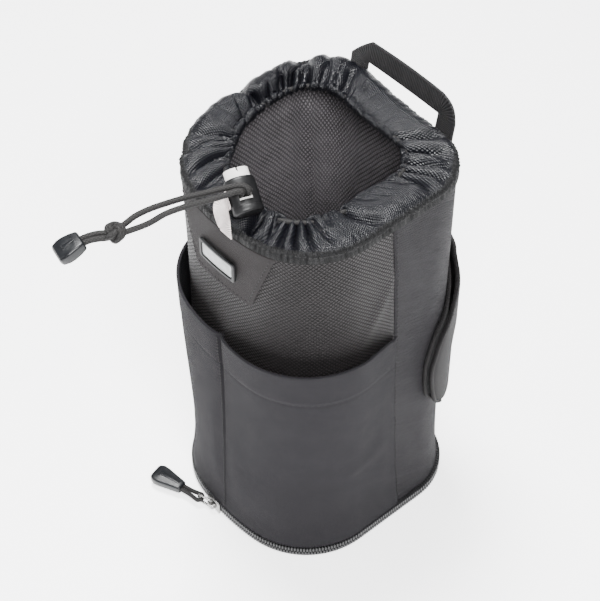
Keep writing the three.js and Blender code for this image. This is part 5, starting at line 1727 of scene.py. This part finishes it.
class POUCH_OT_badge(PieceOperator, bpy.types.Operator):
    """Sew the smooth patch with its rubber frame and its bare plate"""

    bl_idname = "pouch.badge"
    bl_label = "Patch and badge"

    def make(self):
        s = sizes()
        low, high, face = s.wall_top - s.patch_height, s.wall_top - 0.0012, 0.0013
        half = lambda z: 0.0215 + (0.0365 - 0.0215) * (z - low) / (high - low)
        outer = lambda along, z: face - 0.0004 * mound(half(z) - np.abs(along), 0.0011)
        edges = (lambda z: -half(z), half)
        patch = wall_sheet("badge_patch_cloth", edges, outer, steady(0.0005), low, high, 60, 40)
        dress(patch, "pouch", "patch cloth", "smooth_cloth", "badge_patch")
        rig.sheet(patch, (0.058, s.patch_height), "stretched")
        inset, pitch = 0.0022, 0.0028
        z = np.linspace(low + inset, high - 0.002, 60)
        for side, word in SIDES:
            sew(f"patch_stitches_{word}", side * (half(z) - inset), face, z, pitch)
        sew("patch_stitches_low", np.linspace(-0.0195, 0.0195, 60), face, low + inset, pitch)

        middle = s.wall_top - s.badge_drop
        wide, tall = s.badge_half, s.badge_tall
        frame_ = self.flat_plate("badge_rubber", wide, tall, 0.0016, 0.0033, 0.0016)
        carve(frame_, self.flat_plate("badge_recess", wide - 0.0019, tall - 0.0018, 0.0024, 0.006, 0.0012))
        bevel(frame_, 0.0004, 3, 0.7)
        self.wrap(frame_, middle)
        dress(frame_, "pouch", "badge rubber", "badge_rubber", "badge_frame")
        foil = self.flat_plate("badge_foil", wide - 0.0023, tall - 0.0022, 0.0022, 0.0029, 0.0011)
        bevel(foil, 0.00015, 2, 0.7)
        self.wrap(foil, middle)
        dress(foil, "pouch", "badge foil", "badge_foil", "badge_plate")

    @staticmethod
    def flat_plate(name, wide, tall, low, high, corner):
        """A flat plate with round corners, still lying flat, cut across so that it can bend."""
        piece = box_piece(name, (-wide, -tall, low), (wide, tall, high))
        edit(piece)
        pick_edges(piece, lambda middle, run: abs(run.z) > 0.9)
        bpy.ops.mesh.bevel(offset=corner, segments=4)
        slices(0, list(np.linspace(-wide * 0.8, wide * 0.8, 11)))
        done()
        return piece

    @staticmethod
    def wrap(piece, middle):
        """Bends a flat plate on to the front wall."""
        wall = Wall()
        reshape(piece, lambda p: wall.at(p[:, 0], p[:, 2], middle + p[:, 1]))
        tidy(piece)
        soften(piece, 40)


class POUCH_OT_collar(PieceOperator, bpy.types.Operator):
    """Gather the nylon collar on to its drawcord"""

    bl_idname = "pouch.collar"
    bl_label = "Collar"

    def make(self):
        rows, count = 40, 1000
        collar = Collar(rows)
        gathers, round_ = Gathers(collar), 2 * collar.wall.half
        steps = np.linspace(0, round_, count, endpoint=False)
        along, share = np.meshgrid(steps, collar.share, indexing="ij")
        middle = collar.surface(along + gathers.drift(along, share), gathers.height(along, share))
        wrapped = np.concatenate([middle[-1:], middle, middle[:1]])
        normal = np.cross(np.gradient(middle, axis=1), (wrapped[2:] - wrapped[:-2]) / 2)
        normal /= np.linalg.norm(normal, axis=2)[:, :, None] + 1e-12
        thick = (0.0007 - 0.0002 * ease((share - 0.7) / 0.1))[..., None]
        outer = middle - normal * thick / 2
        inner = middle + normal * thick / 2
        inner[:, 0, :2] += (inner[:, 0, :2] - outer[:, 0, :2]) * 0.8
        outer[:, 0, 2] -= 0.0016
        inner[:, 0, 2] -= 0.0012
        rings = np.concatenate([outer, inner[:, ::-1]], axis=1)
        uvs = np.stack([along, share * 0.032], axis=-1)
        uvs = np.concatenate([uvs, uvs[:, ::-1]], axis=1)
        piece = loft("collar_cloth", rings, closed_round(uvs, round_), True, 180)
        dress(piece, "pouch", "collar nylon", "thin_nylon", "collar")
        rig.sheet(piece, (round_, 0.041), "gathered")
        for word, row in (("low", 3), ("high", 5)):
            line = np.concatenate([outer[:, row], outer[:1, row]])
            ups = -np.concatenate([normal[:, row], normal[:1, row]])
            stitch_row(f"collar_stitches_{word}", line, ups)


class POUCH_OT_lock(PieceOperator, bpy.types.Operator):
    """Mould the cord lock: barrel, plunger and spring"""

    bl_idname = "pouch.lock"
    bl_label = "Cord lock"

    def make(self):
        lock = Lock()
        half, window = 0.00925, 0.0034
        barrel = bevel(self.bar("lock_barrel_moulding", 0.0156, 0.0106, -half, half), 0.0015, 5, 0.8)
        groove = primitive(
            "lock_groove",
            bpy.ops.mesh.primitive_torus_add,
            major_radius=0.0079,
            minor_radius=0.0003,
            major_segments=64,
            minor_segments=8,
        )
        groove.scale = (1, 0.0107 / 0.0157, 1)
        groove.location = (0, 0, 0.0056)
        settle(groove)
        bore = self.bar("lock_bore", 0.0132, 0.0082, -0.02, 0.00805)
        cord_way = box_piece("lock_window", (-window, -0.02, -0.0017), (window, 0.02, 0.0017))
        sight = box_piece("lock_sight", (-window, 0, 0), (window, 0.02, 0.003))
        carve(barrel, groove, bore, cord_way, sight)
        bevel(barrel, 0.0003, 2, 0.9)
        put(barrel, lock.matrix(), 35)
        dress(barrel, "pouch", "black moulding", "black_plastic", "lock_barrel")

        plunger = self.bar("lock_plunger_moulding", 0.0126, 0.0076, -half - 0.005, 0.0029)
        bevel(plunger, 0.0008, 4, 0.8)
        slot = box_piece("plunger_slot", (-window, -0.02, -0.0051), (window, 0.02, 0.0016))
        rim = box_piece("plunger_rim", (-0.00045, -0.02, -0.016), (0.00045, 0.02, -0.0118))
        carve(plunger, slot, rim, self.bar("plunger_well", 0.0082, 0.0038, -0.016, -0.0124))
        bevel(plunger, 0.0002, 2, 0.9)
        put(plunger, lock.matrix(), 35)
        dress(plunger, "plunger", "white moulding", "white_plastic", "lock_plunger")

        coil, steps = 0.00255, 140
        turns = np.linspace(0, 2 * np.pi * 3.5, steps)
        rise = np.linspace(0.0036, 0.0074, steps)
        line = [lock.at(coil * math.cos(t), coil * math.sin(t), z) for t, z in zip(turns, rise)]
        spring = tube("lock_coil", np.array(line), 0.00035, 8)
        dress(spring, "pouch", "plated zinc", "spring_steel", "lock_spring")
        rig.squash(spring, "lock_press", lock.axis.tolist(), lock.at(0, 0, 0.00775).tolist(), 0.24)

    @staticmethod
    def bar(name, wide, deep, low, high):
        """An elliptical bar between two places on the lock's axis."""
        piece = primitive(name, bpy.ops.mesh.primitive_cylinder_add, vertices=56, radius=1, depth=high - low)
        piece.scale = (wide / 2, deep / 2, 1)
        piece.location = (0, 0, (low + high) / 2)
        settle(piece)
        return piece


# The cord's two free strands, in millimetres: their stops from the lock to the knot and on into the
# moulded end, the knot's middle, and the moulded end's socket and tip
STRAND_A = [(7.4, -53, 267.6), (2.9, -59.6, 267), (-1.6, -68.6, 266.2), (-6.2, -77.8, 265.4)]
STRAND_A += [(-10.4, -86.6, 264), (-13.4, -94, 262.8), (-15.6, -101.2, 261), (-16.4, -107.8, 258.8)]
STRAND_B = [(7.4, -57.4, 266.6), (5.4, -62.4, 265.8), (1.8, -71, 265), (-2.4, -80.8, 264.2)]
STRAND_B += [(-5.9, -90, 262.8), (-8.6, -98.6, 259.8), (-13.0, -107.4, 257.2)]
LOOP_A = [(-18.8, -115.2, 257.0), (-21.2, -119.4, 257.2), (-23.2, -123.6, 256.8), (-25.2, -128.4, 255.4)]
LOOP_B = [(-16.4, -116.8, 256.4), (-18.8, -120.6, 256.4), (-21.0, -124.6, 256.0), (-22.6, -129, 254.8)]
KNOT_PLACE = (-16.8, -112.4, 257)
CORD_END = ((-24, -126.4, 255.6), (-27.0, -140.2, 250.8))


class POUCH_OT_tail(PieceOperator, bpy.types.Operator):
    """Run the two free strands of the cord from the lock to their knot and on to the moulded end"""

    bl_idname = "pouch.tail"
    bl_label = "Cord tail"

    def make(self):
        s, lock = sizes(), Lock()
        knot, end = self.knot(), self.cord_end()
        tails = [("a", 1, STRAND_A + LOOP_A, "tail_loop_1"), ("b", -1, STRAND_B + LOOP_B, "tail_loop_2")]
        for word, side, stops, loop in tails:
            start = [lock.at(side * 0.0017, face, 0) for face in (0.0069, 0.0082)]
            line, long_ = even(catmull(start + [np.array(p) / 1000 for p in stops], 14), 170)
            piece = tube(f"tail_cord_{word}", line, s.tail_radius)
            dress(piece, "pouch", "braided cord", "cord_cloth", f"tail_strand_{word}", loop)
            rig.cord(piece, line[0], long_, 2 * s.tail_radius, "fitting", "limp", "loose", line, [knot, end])

    @staticmethod
    def lie():
        """The moulded end's two ends, its direction and the level direction across it."""
        start, tip = np.array(CORD_END, float) / 1000
        along = unit(tip - start)
        return start, along, unit(np.array([-along[1], along[0], 0]))

    def knot(self):
        """An overhand knot of both strands, drawn tight."""
        _, along, side = self.lie()
        place, up = np.array(KNOT_PLACE) / 1000, np.cross(along, side)
        turn = np.linspace(0, 2 * np.pi, 160, endpoint=False)
        parts = []
        for shift, word in ((-0.5, "under"), (0.5, "over")):
            ring = 0.0028 + 0.0003 * shift + 0.0015 * np.cos(3 * turn + shift)
            x = ring * np.cos(2 * turn + 0.5 * shift) + shift * 0.0016
            y = ring * np.sin(2 * turn + 0.5 * shift) * 0.95
            z = 0.0018 * np.sin(3 * turn + shift) * 1.2
            line = place + x[:, None] * along + y[:, None] * side + z[:, None] * up
            parts.append(self.closed_cord(f"knot_{word}", line, sizes().tail_radius * 0.98))
        return dress(weld("cord_knot", parts), "pouch", "braided cord", "cord_cloth", "tail_knot")

    @staticmethod
    def closed_cord(name, line, radius):
        """A round cord along a closed line."""
        wrapped = np.concatenate([line[-1:], line, line[:1]])
        tangents = unit(wrapped[2:] - wrapped[:-2])
        outwards = line - line.mean(axis=0)
        normals = unit(outwards - tangents * (outwards * tangents).sum(axis=1)[:, None])
        reach = np.linspace(0, lengths(line)[-1], len(line) + 1)
        radii = np.full(len(line), radius)
        return round_skin(name, line, normals, np.cross(tangents, normals), radii, reach, 10, 180)

    def cord_end(self):
        """The moulded end that the strands are pushed into: a wedge with a raised rib."""
        stations = [(0, 9.4, 5.4), (3.9, 11.2, 6.6), (7.6, 12.4, 6.8), (10.6, 12.6, 6.4), (13.4, 11.4, 5.2)]
        stations += [(14.4, 9.6, 3.8)]
        socket = box_piece("cord_end_socket", (-0.0036, -0.0019, -0.003), (0.0036, 0.0019, 0.0035))
        end = moulded_wedge("cord_end_moulding", stations, 0.0017, [(3.4, 1.4, 7.6), (10, 2.2, 7.4)], socket)
        start, along, across = self.lie()
        put(end, frame_matrix(across, np.cross(along, across), along, start))
        return dress(end, "pouch", "grip moulding", "grey_plastic", "cord_end")


class POUCH_OT_drawcord(PieceOperator, bpy.types.Operator):
    """Thread the drawcord round inside the hem and out through the lock, and sew its tape tab"""

    bl_idname = "pouch.drawcord"
    bl_label = "Drawcord and tab"

    def make(self):
        collar = Collar(8)
        self.cord(collar)
        self.tab(collar.wall)

    @staticmethod
    def cord(collar):
        """The drawcord: down into the lock, once round inside the hem and back."""
        lock, half = Lock(), collar.wall.half

        def rise(side):
            hem = collar.hem_centre(0.0122 + side * 0.0021) + np.array([0, -0.0025, 0.0055])
            return [lock.at(side * 0.0017, face, 0) for face in (0.0066, 0, -0.0066)] + [hem]

        around = collar.hem_centre(np.linspace(0.0164, 0.008 + 2 * half, 33))
        line = even(catmull(rise(1) + list(around) + rise(-1)[::-1], 12), 420)[0]
        cord = tube("drawcord_braid", line, sizes().cord_radius)
        dress(cord, "pouch", "braided cord", "cord_cloth", "drawcord")

    @staticmethod
    def tab(wall):
        """The tape tab, from the collar's seam up behind the lock, turning on its way."""
        lock, along, count = Lock(), 0.0083, 60
        half_wide, half_thick, round_ = 0.00425, 0.00045, 0.1
        stops = [wall.at(along, 0.0026, 0.2435), wall.at(along, 0.0030, 0.2478)]
        stops += [lock.at(-0.0111, -0.0046, 0), lock.at(-0.00865, -0.0026, 0), lock.at(-0.00855, 0.002, 0)]
        middle, long_ = even(catmull(stops, 16), count)
        share = np.linspace(0, 1, count)[:, None]
        wide = (1 - share**2) * np.array([1.0, 0, 0]) + share**2 * lock.axis
        run = unit(np.gradient(middle, axis=0))
        wide = unit(wide - run * (wide * run).sum(axis=1)[:, None])
        thick = unit(np.cross(run, wide))
        turns = np.radians([60, 30, 0, -30, -60])
        outline = [(-1 + round_ * k, 1.0) for k in range(1, 20)]
        outline += [(1 - round_ + round_ * math.cos(t), math.sin(t)) for t in turns]
        outline += [(1 - round_ * k, -1.0) for k in range(1, 20)]
        outline += [(-1 + round_ - round_ * math.cos(t), -math.sin(t)) for t in turns]
        rings, uvs = [], []
        for i in range(count):
            flat, deep = wide[i] * half_wide, thick[i] * half_thick
            rings.append([middle[i] + flat * w + deep * t for w, t in outline])
            u = long_ * i / (count - 1)
            uvs.append([(u, half_wide * w) for w, _ in outline] + [(u, -half_wide)])
        faces = quads(count, len(outline), False, True)
        tab = new_piece("tab_ribbon", rings, faces, corner_uvs(np.array(uvs)), 60)
        close_ends(tab)
        dress(tab, "pouch", "white ribbon", "white_tape", "lock_tab")
        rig.sheet(tab, (long_, 0.01), "folded", area=long_ * 0.0085)


def close_ends(piece):
    """Fills the open ends of a ribbon."""
    work = bmesh.new()
    work.from_mesh(piece.data)
    bmesh.ops.holes_fill(work, edges=[edge for edge in work.edges if edge.is_boundary], sides=0)
    bmesh.ops.recalc_face_normals(work, faces=work.faces)
    work.to_mesh(piece.data)
    work.free()


class POUCH_OT_handle(PieceOperator, bpy.types.Operator):
    """Fold the webbing handle with its mitred corners and sew its ends down"""

    bl_idname = "pouch.handle"
    bl_label = "Handle"

    def make(self):
        wide, half, rise = sizes().strap_width, 0.026, 0.0107
        edges = [((-half, z), (-half - wide, z)) for z in np.linspace(0, rise, 8)]

        def corner(side, most, shares):
            for share in shares:
                swell = most * math.sin(math.pi * share)
                out = half + wide * (1 - share) + swell
                edges.append(((side * half, rise), (side * out, rise + wide * share + swell)))

        corner(-1, 0.0004, np.linspace(0, 1, 12)[1:])
        edges += [((x, rise), (x, rise + wide)) for x in np.linspace(-half, half, 60)[1:-1]]
        corner(1, 0.0026, np.linspace(1, 0, 12)[:-1])
        edges += [((half, z), (half + wide, z)) for z in np.linspace(rise, 0, 8)]
        edges = np.array(edges)
        reach = lengths(edges.mean(axis=1))
        rings, uvs = zip(*(self.band(inner, outer, at) for (inner, outer), at in zip(edges, reach)))
        strap = loft("handle_webbing", rings, uvs, False, 60)
        lean = math.radians(8)
        hinge = np.array([HANDLE_MIDDLE, HANDLE_OUT, 0.2442])

        def stand(points):
            x, y, z = points.T
            share = np.clip((x + half + wide) / (2 * (half + wide)), 0, 1)
            y = y + 0.0016 * np.sin(np.pi * share) * (z / 0.02)
            tilted = (x, y * math.cos(lean) + z * math.sin(lean), z * math.cos(lean) - y * math.sin(lean))
            return np.stack(tilted, 1) + hinge

        reshape(strap, stand)
        dress(strap, "handle", "handle webbing", "webbing", "handle_strap")
        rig.sheet(strap, (reach[-1], wide), "folded")
        for side, word in SIDES[::-1]:
            self.anchor(word, HANDLE_MIDDLE + side * (half + wide / 2))

    @staticmethod
    def band(inner, outer, reach):
        """One rounded cross-section of the strap between its two edges."""
        s = sizes()
        thick = s.strap_thick / 2
        turns = np.radians([72, 36, 0, -36, -72])
        round_ = min(thick / np.linalg.norm(outer - inner), 0.2)
        shares = np.linspace(round_, 1 - round_, 16)
        spots = [(share, 1.0) for share in shares]
        spots += [(1 - round_ + round_ * math.cos(t), math.sin(t)) for t in turns]
        spots += [(share, -1.0) for share in shares[::-1]]
        spots += [(round_ - round_ * math.cos(t), -math.sin(t)) for t in turns]
        ring, uv = [], []
        for share, side in spots:
            x, z = inner + (outer - inner) * share
            ring.append((x, side * thick * (1 - 0.12 * abs(2 * share - 1) ** 6), z))
            uv.append((reach, share * s.strap_width))
        return ring, uv + [(reach, 0.0)]

    def anchor(self, word, middle):
        """A sewn-down end of the webbing with a crossed box of stitches."""
        wide = sizes().strap_width
        heights = np.linspace(0.2281, 0.243, 16)
        edges = [np.array([(middle - wide / 2, z), (middle + wide / 2, z)]) for z in heights]
        rings, uvs = zip(*(self.band(*pair, pair[0, 1]) for pair in edges))
        piece = loft(f"handle_end_{word}", np.array(rings) + np.array([0, HANDLE_OUT, 0]), uvs, False, 60)
        dress(piece, "pouch", "handle webbing", "webbing", f"handle_anchor_{word}")
        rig.sheet(piece, (wide, 0.015), "stretched")
        left, right, low, high = middle - 0.0047, middle + 0.0047, 0.2298, 0.2412
        corners = [(left, low), (right, low), (right, high), (left, high), (left, low), (right, high)]
        share = np.linspace(0, 1, 12)[:, None]
        for k, ((x0, z0), (x1, z1)) in enumerate(zip(corners, corners[1:])):
            line = (1 - share) * np.array([x0, 0.06308, z0]) + share * np.array([x1, 0.06308, z1])
            ups = np.tile([0.0, 1.0, 0.0], (12, 1))
            stitch_row(f"handle_end_{word}_stitches_{k}", line, ups, 0.0026)


# The wings' front edges, seen from the side: shares of their reach and of their height
PAD_EDGE = [(0.62, 0), (0.93, 0.14), (1, 0.34), (0.98, 0.46), (0.8, 0.64), (0.5, 0.74), (0.18, 0.88), (0, 1)]
FLAP_EDGE = [(0.6, 0), (0.85, 0.08), (0.967, 0.214), (1, 0.33), (0.944, 0.41), (0.774, 0.536)]
FLAP_EDGE += [(0.393, 0.634), (0.05, 0.795), (-0.02, 1)]


class POUCH_OT_belt_carrier(PieceOperator, bpy.types.Operator):
    """Sew the belt carrier: the fixed pad, the flap that folds over the belt and their hook and loop tape"""

    bl_idname = "pouch.belt_carrier"
    bl_label = "Belt carrier"

    def make(self):
        wall = Wall()
        low, high = 0.078, 0.172
        edge = self.edge(PAD_EDGE, 0.0323, low, high, 0.0013)
        outer = lambda along, z: 0.0023 - 0.0007 * self.rim(edge, along, z)
        pad = wall_sheet("belt_pad_padded", self.both(edge), outer, steady(GAP), low, high, 120, 60)
        dress(pad, "pouch", "brushed pile", "pad_cloth", "belt_pad")
        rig.padded(pad, 0.5)
        self.piping("belt_pad_piping", edge, steady(0.0013), low, high, "pouch")

        low, high = 0.076, 0.1877
        flap_edge = self.edge(FLAP_EDGE, 0.0305, low, high, 0.003)
        outer = lambda along, z: self.stand(along, z) + 0.0024 - 0.0008 * self.rim(flap_edge, along, z)
        flap = wall_sheet("belt_flap_padded", self.both(flap_edge), outer, self.stand, low, high, 140, 90)
        dress(flap, "flap", "flap cloth", "flap_cloth", "belt_flap")
        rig.padded(flap, 0.4)
        middle = lambda along, z: self.stand(along, z) + 0.0012
        self.piping("belt_flap_piping", flap_edge, middle, low, high, "flap")

        band = self.both(steady(wall.half - 0.03))
        tapes = (("loop_tape", "pouch", "loop_pad", 0.0026), ("hook_tape", "flap", "hook_pad", 0.0036))
        for name, body, node, out in tapes:
            piece = wall_sheet(name, band, steady(out + 0.0007), steady(out), 0.081, 0.105, 40, 16, wall.at)
            dress(piece, body, "hook tape", "hook_and_loop", node)
            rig.sheet(piece, (0.06, 0.024), "stretched")

        half, line_z = wall.back_x + 0.003, 0.1913
        ends = self.both(steady(wall.half - half))
        outer = lambda along, z: 0.0027 - 0.0006 * mound(z - line_z, 0.001)
        seam = wall_sheet("flap_seam_cloth", ends, outer, steady(GAP), 0.1883, 0.1943, 60, 12, wall.at)
        dress(seam, "pouch", "flap cloth", "flap_cloth", "belt_flap_seam")
        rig.sheet(seam, (2 * half, 0.01), "folded", area=2 * half * 0.0084)
        along = wall.half + np.linspace(0.002 - half, half - 0.002, 80)
        sew("flap_seam_stitches", along, 0.0022, line_z, 0.003)

    @staticmethod
    def both(edge):
        """An edge on the right and its twin on the left, for a sheet that runs round the back."""
        half = Wall().half
        return edge, lambda z: 2 * half - edge(z)

    @staticmethod
    def edge(shares, wing, low, high, out):
        """Length round to the front edge of a wing at a height, from its side view."""
        s, wall = sizes(), Wall()
        depth = spline_shares([share for share, _ in shares], 240)
        level = spline_shares([level for _, level in shares], 240)

        def along(z):
            share = np.interp((z - low) / (high - low), level, depth)
            y = s.wall_back - share * wing - wall.back_y
            turn = np.arcsin(np.clip(y / (s.back_radius + out), 0, 1))
            return wall.stops[2] + np.where(y < 0, y, s.back_radius * turn)

        return along

    @staticmethod
    def rim(edge, along, z):
        """How near a place is to the wing's front edge, from 0 to 1."""
        return mound(np.abs(Wall().near(along)) - edge(z), 0.002)

    @staticmethod
    def stand(along, z):
        """The flap's inner face: over the pad at its wings and out round the belt at its middle."""
        wall = Wall()
        centre = 1 - ease((wall.half - np.abs(wall.near(along)) - 0.03) / 0.0305)
        tunnel = ease((z - 0.107) / 0.018) * (1 - ease((z - 0.15) / 0.022))
        middle = 0.0024 + (0.0067 - 0.0024) * tunnel
        sewn = ease((z - 0.172) / 0.016)
        return GAP + (1 - sewn) * (0.002 + 0.001 + (middle - 0.001) * centre)

    @staticmethod
    def piping(name, edge, out, low, high, body):
        """The binding that rolls over a wing's front edges."""
        z = np.linspace(low + 0.001, high - 0.001, 90)
        for side, word in SIDES:
            along = side * edge(z)
            line = even(Wall().at(along, out(along, z), z), 120)[0]
            dress(tube(f"{name}_{word}", line, 0.0011, 10), body, "edge binding")


class POUCH_OT_seam_stitches(PieceOperator, bpy.types.Operator):
    """Stitch the side seams"""

    bl_idname = "pouch.seam_stitches"
    bl_label = "Seam stitches"

    def make(self):
        s, wall = sizes(), Wall()
        z = np.linspace(s.wall_low + 0.004, s.wall_top - 0.004, 200)
        for side, word in SIDES:
            along = side * (wall.seam(z) + 0.0016 + 0.0003 * np.sin(z / 0.004))
            sew(f"side_seam_stitches_{word}", along, 0.0, z, 0.0034)


OPERATORS = (
    POUCH_OT_stage,
    POUCH_OT_tail,
    POUCH_OT_drawcord,
    POUCH_OT_panels,
    POUCH_OT_padding,
    POUCH_OT_base,
    POUCH_OT_zip,
    POUCH_OT_slider,
    POUCH_OT_puller,
    POUCH_OT_pocket,
    POUCH_OT_badge,
    POUCH_OT_collar,
    POUCH_OT_lock,
    POUCH_OT_handle,
    POUCH_OT_belt_carrier,
    POUCH_OT_seam_stitches,
)


class POUCH_PT_panel(bpy.types.Panel):
    """Lists the pieces in building order, with their sizes and colours"""

    bl_label = "Lens pouch"
    bl_idname = "POUCH_PT_panel"
    bl_space_type = "VIEW_3D"
    bl_region_type = "UI"
    bl_category = "Pouch"

    def draw(self, context):
        for operator in OPERATORS:
            self.layout.operator(operator.bl_idname)
        for group in (context.scene.pouch_sizes, context.scene.pouch_colours, context.scene.pouch_stage):
            box = self.layout.box()
            for name in group.bl_rna.properties.keys():
                if name not in ("rna_type", "name"):
                    box.prop(group, name)


CLASSES = (PouchSizes, PouchColours, PouchStage, *OPERATORS, POUCH_PT_panel)


def register():
    for kind in CLASSES:
        bpy.utils.register_class(kind)
    bpy.types.Scene.pouch_sizes = PointerProperty(type=PouchSizes)
    bpy.types.Scene.pouch_colours = PointerProperty(type=PouchColours)
    bpy.types.Scene.pouch_stage = PointerProperty(type=PouchStage)


def unregister():
    del bpy.types.Scene.pouch_stage
    del bpy.types.Scene.pouch_colours
    del bpy.types.Scene.pouch_sizes
    for kind in reversed(CLASSES):
        bpy.utils.unregister_class(kind)


def plain(value):
    """A value as plain lists and numbers."""
    if isinstance(value, dict):
        return {key: plain(item) for key, item in value.items()}
    if isinstance(value, (list, tuple, np.ndarray, Vector)):
        return [plain(item) for item in value]
    return float(value) if isinstance(value, (int, float, np.floating)) else value


def main():
    packed = plain(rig.bounds())
    register()
    for operator in OPERATORS:
        family, name = operator.bl_idname.split(".")
        getattr(getattr(bpy.ops, family), name)()
    dressed = plain(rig.bounds())
    with open(SIZE_FILE, "w") as file:
        json.dump({"cad": packed, "visual": dressed}, file, indent=1)


if __name__ == "__main__":
    main()
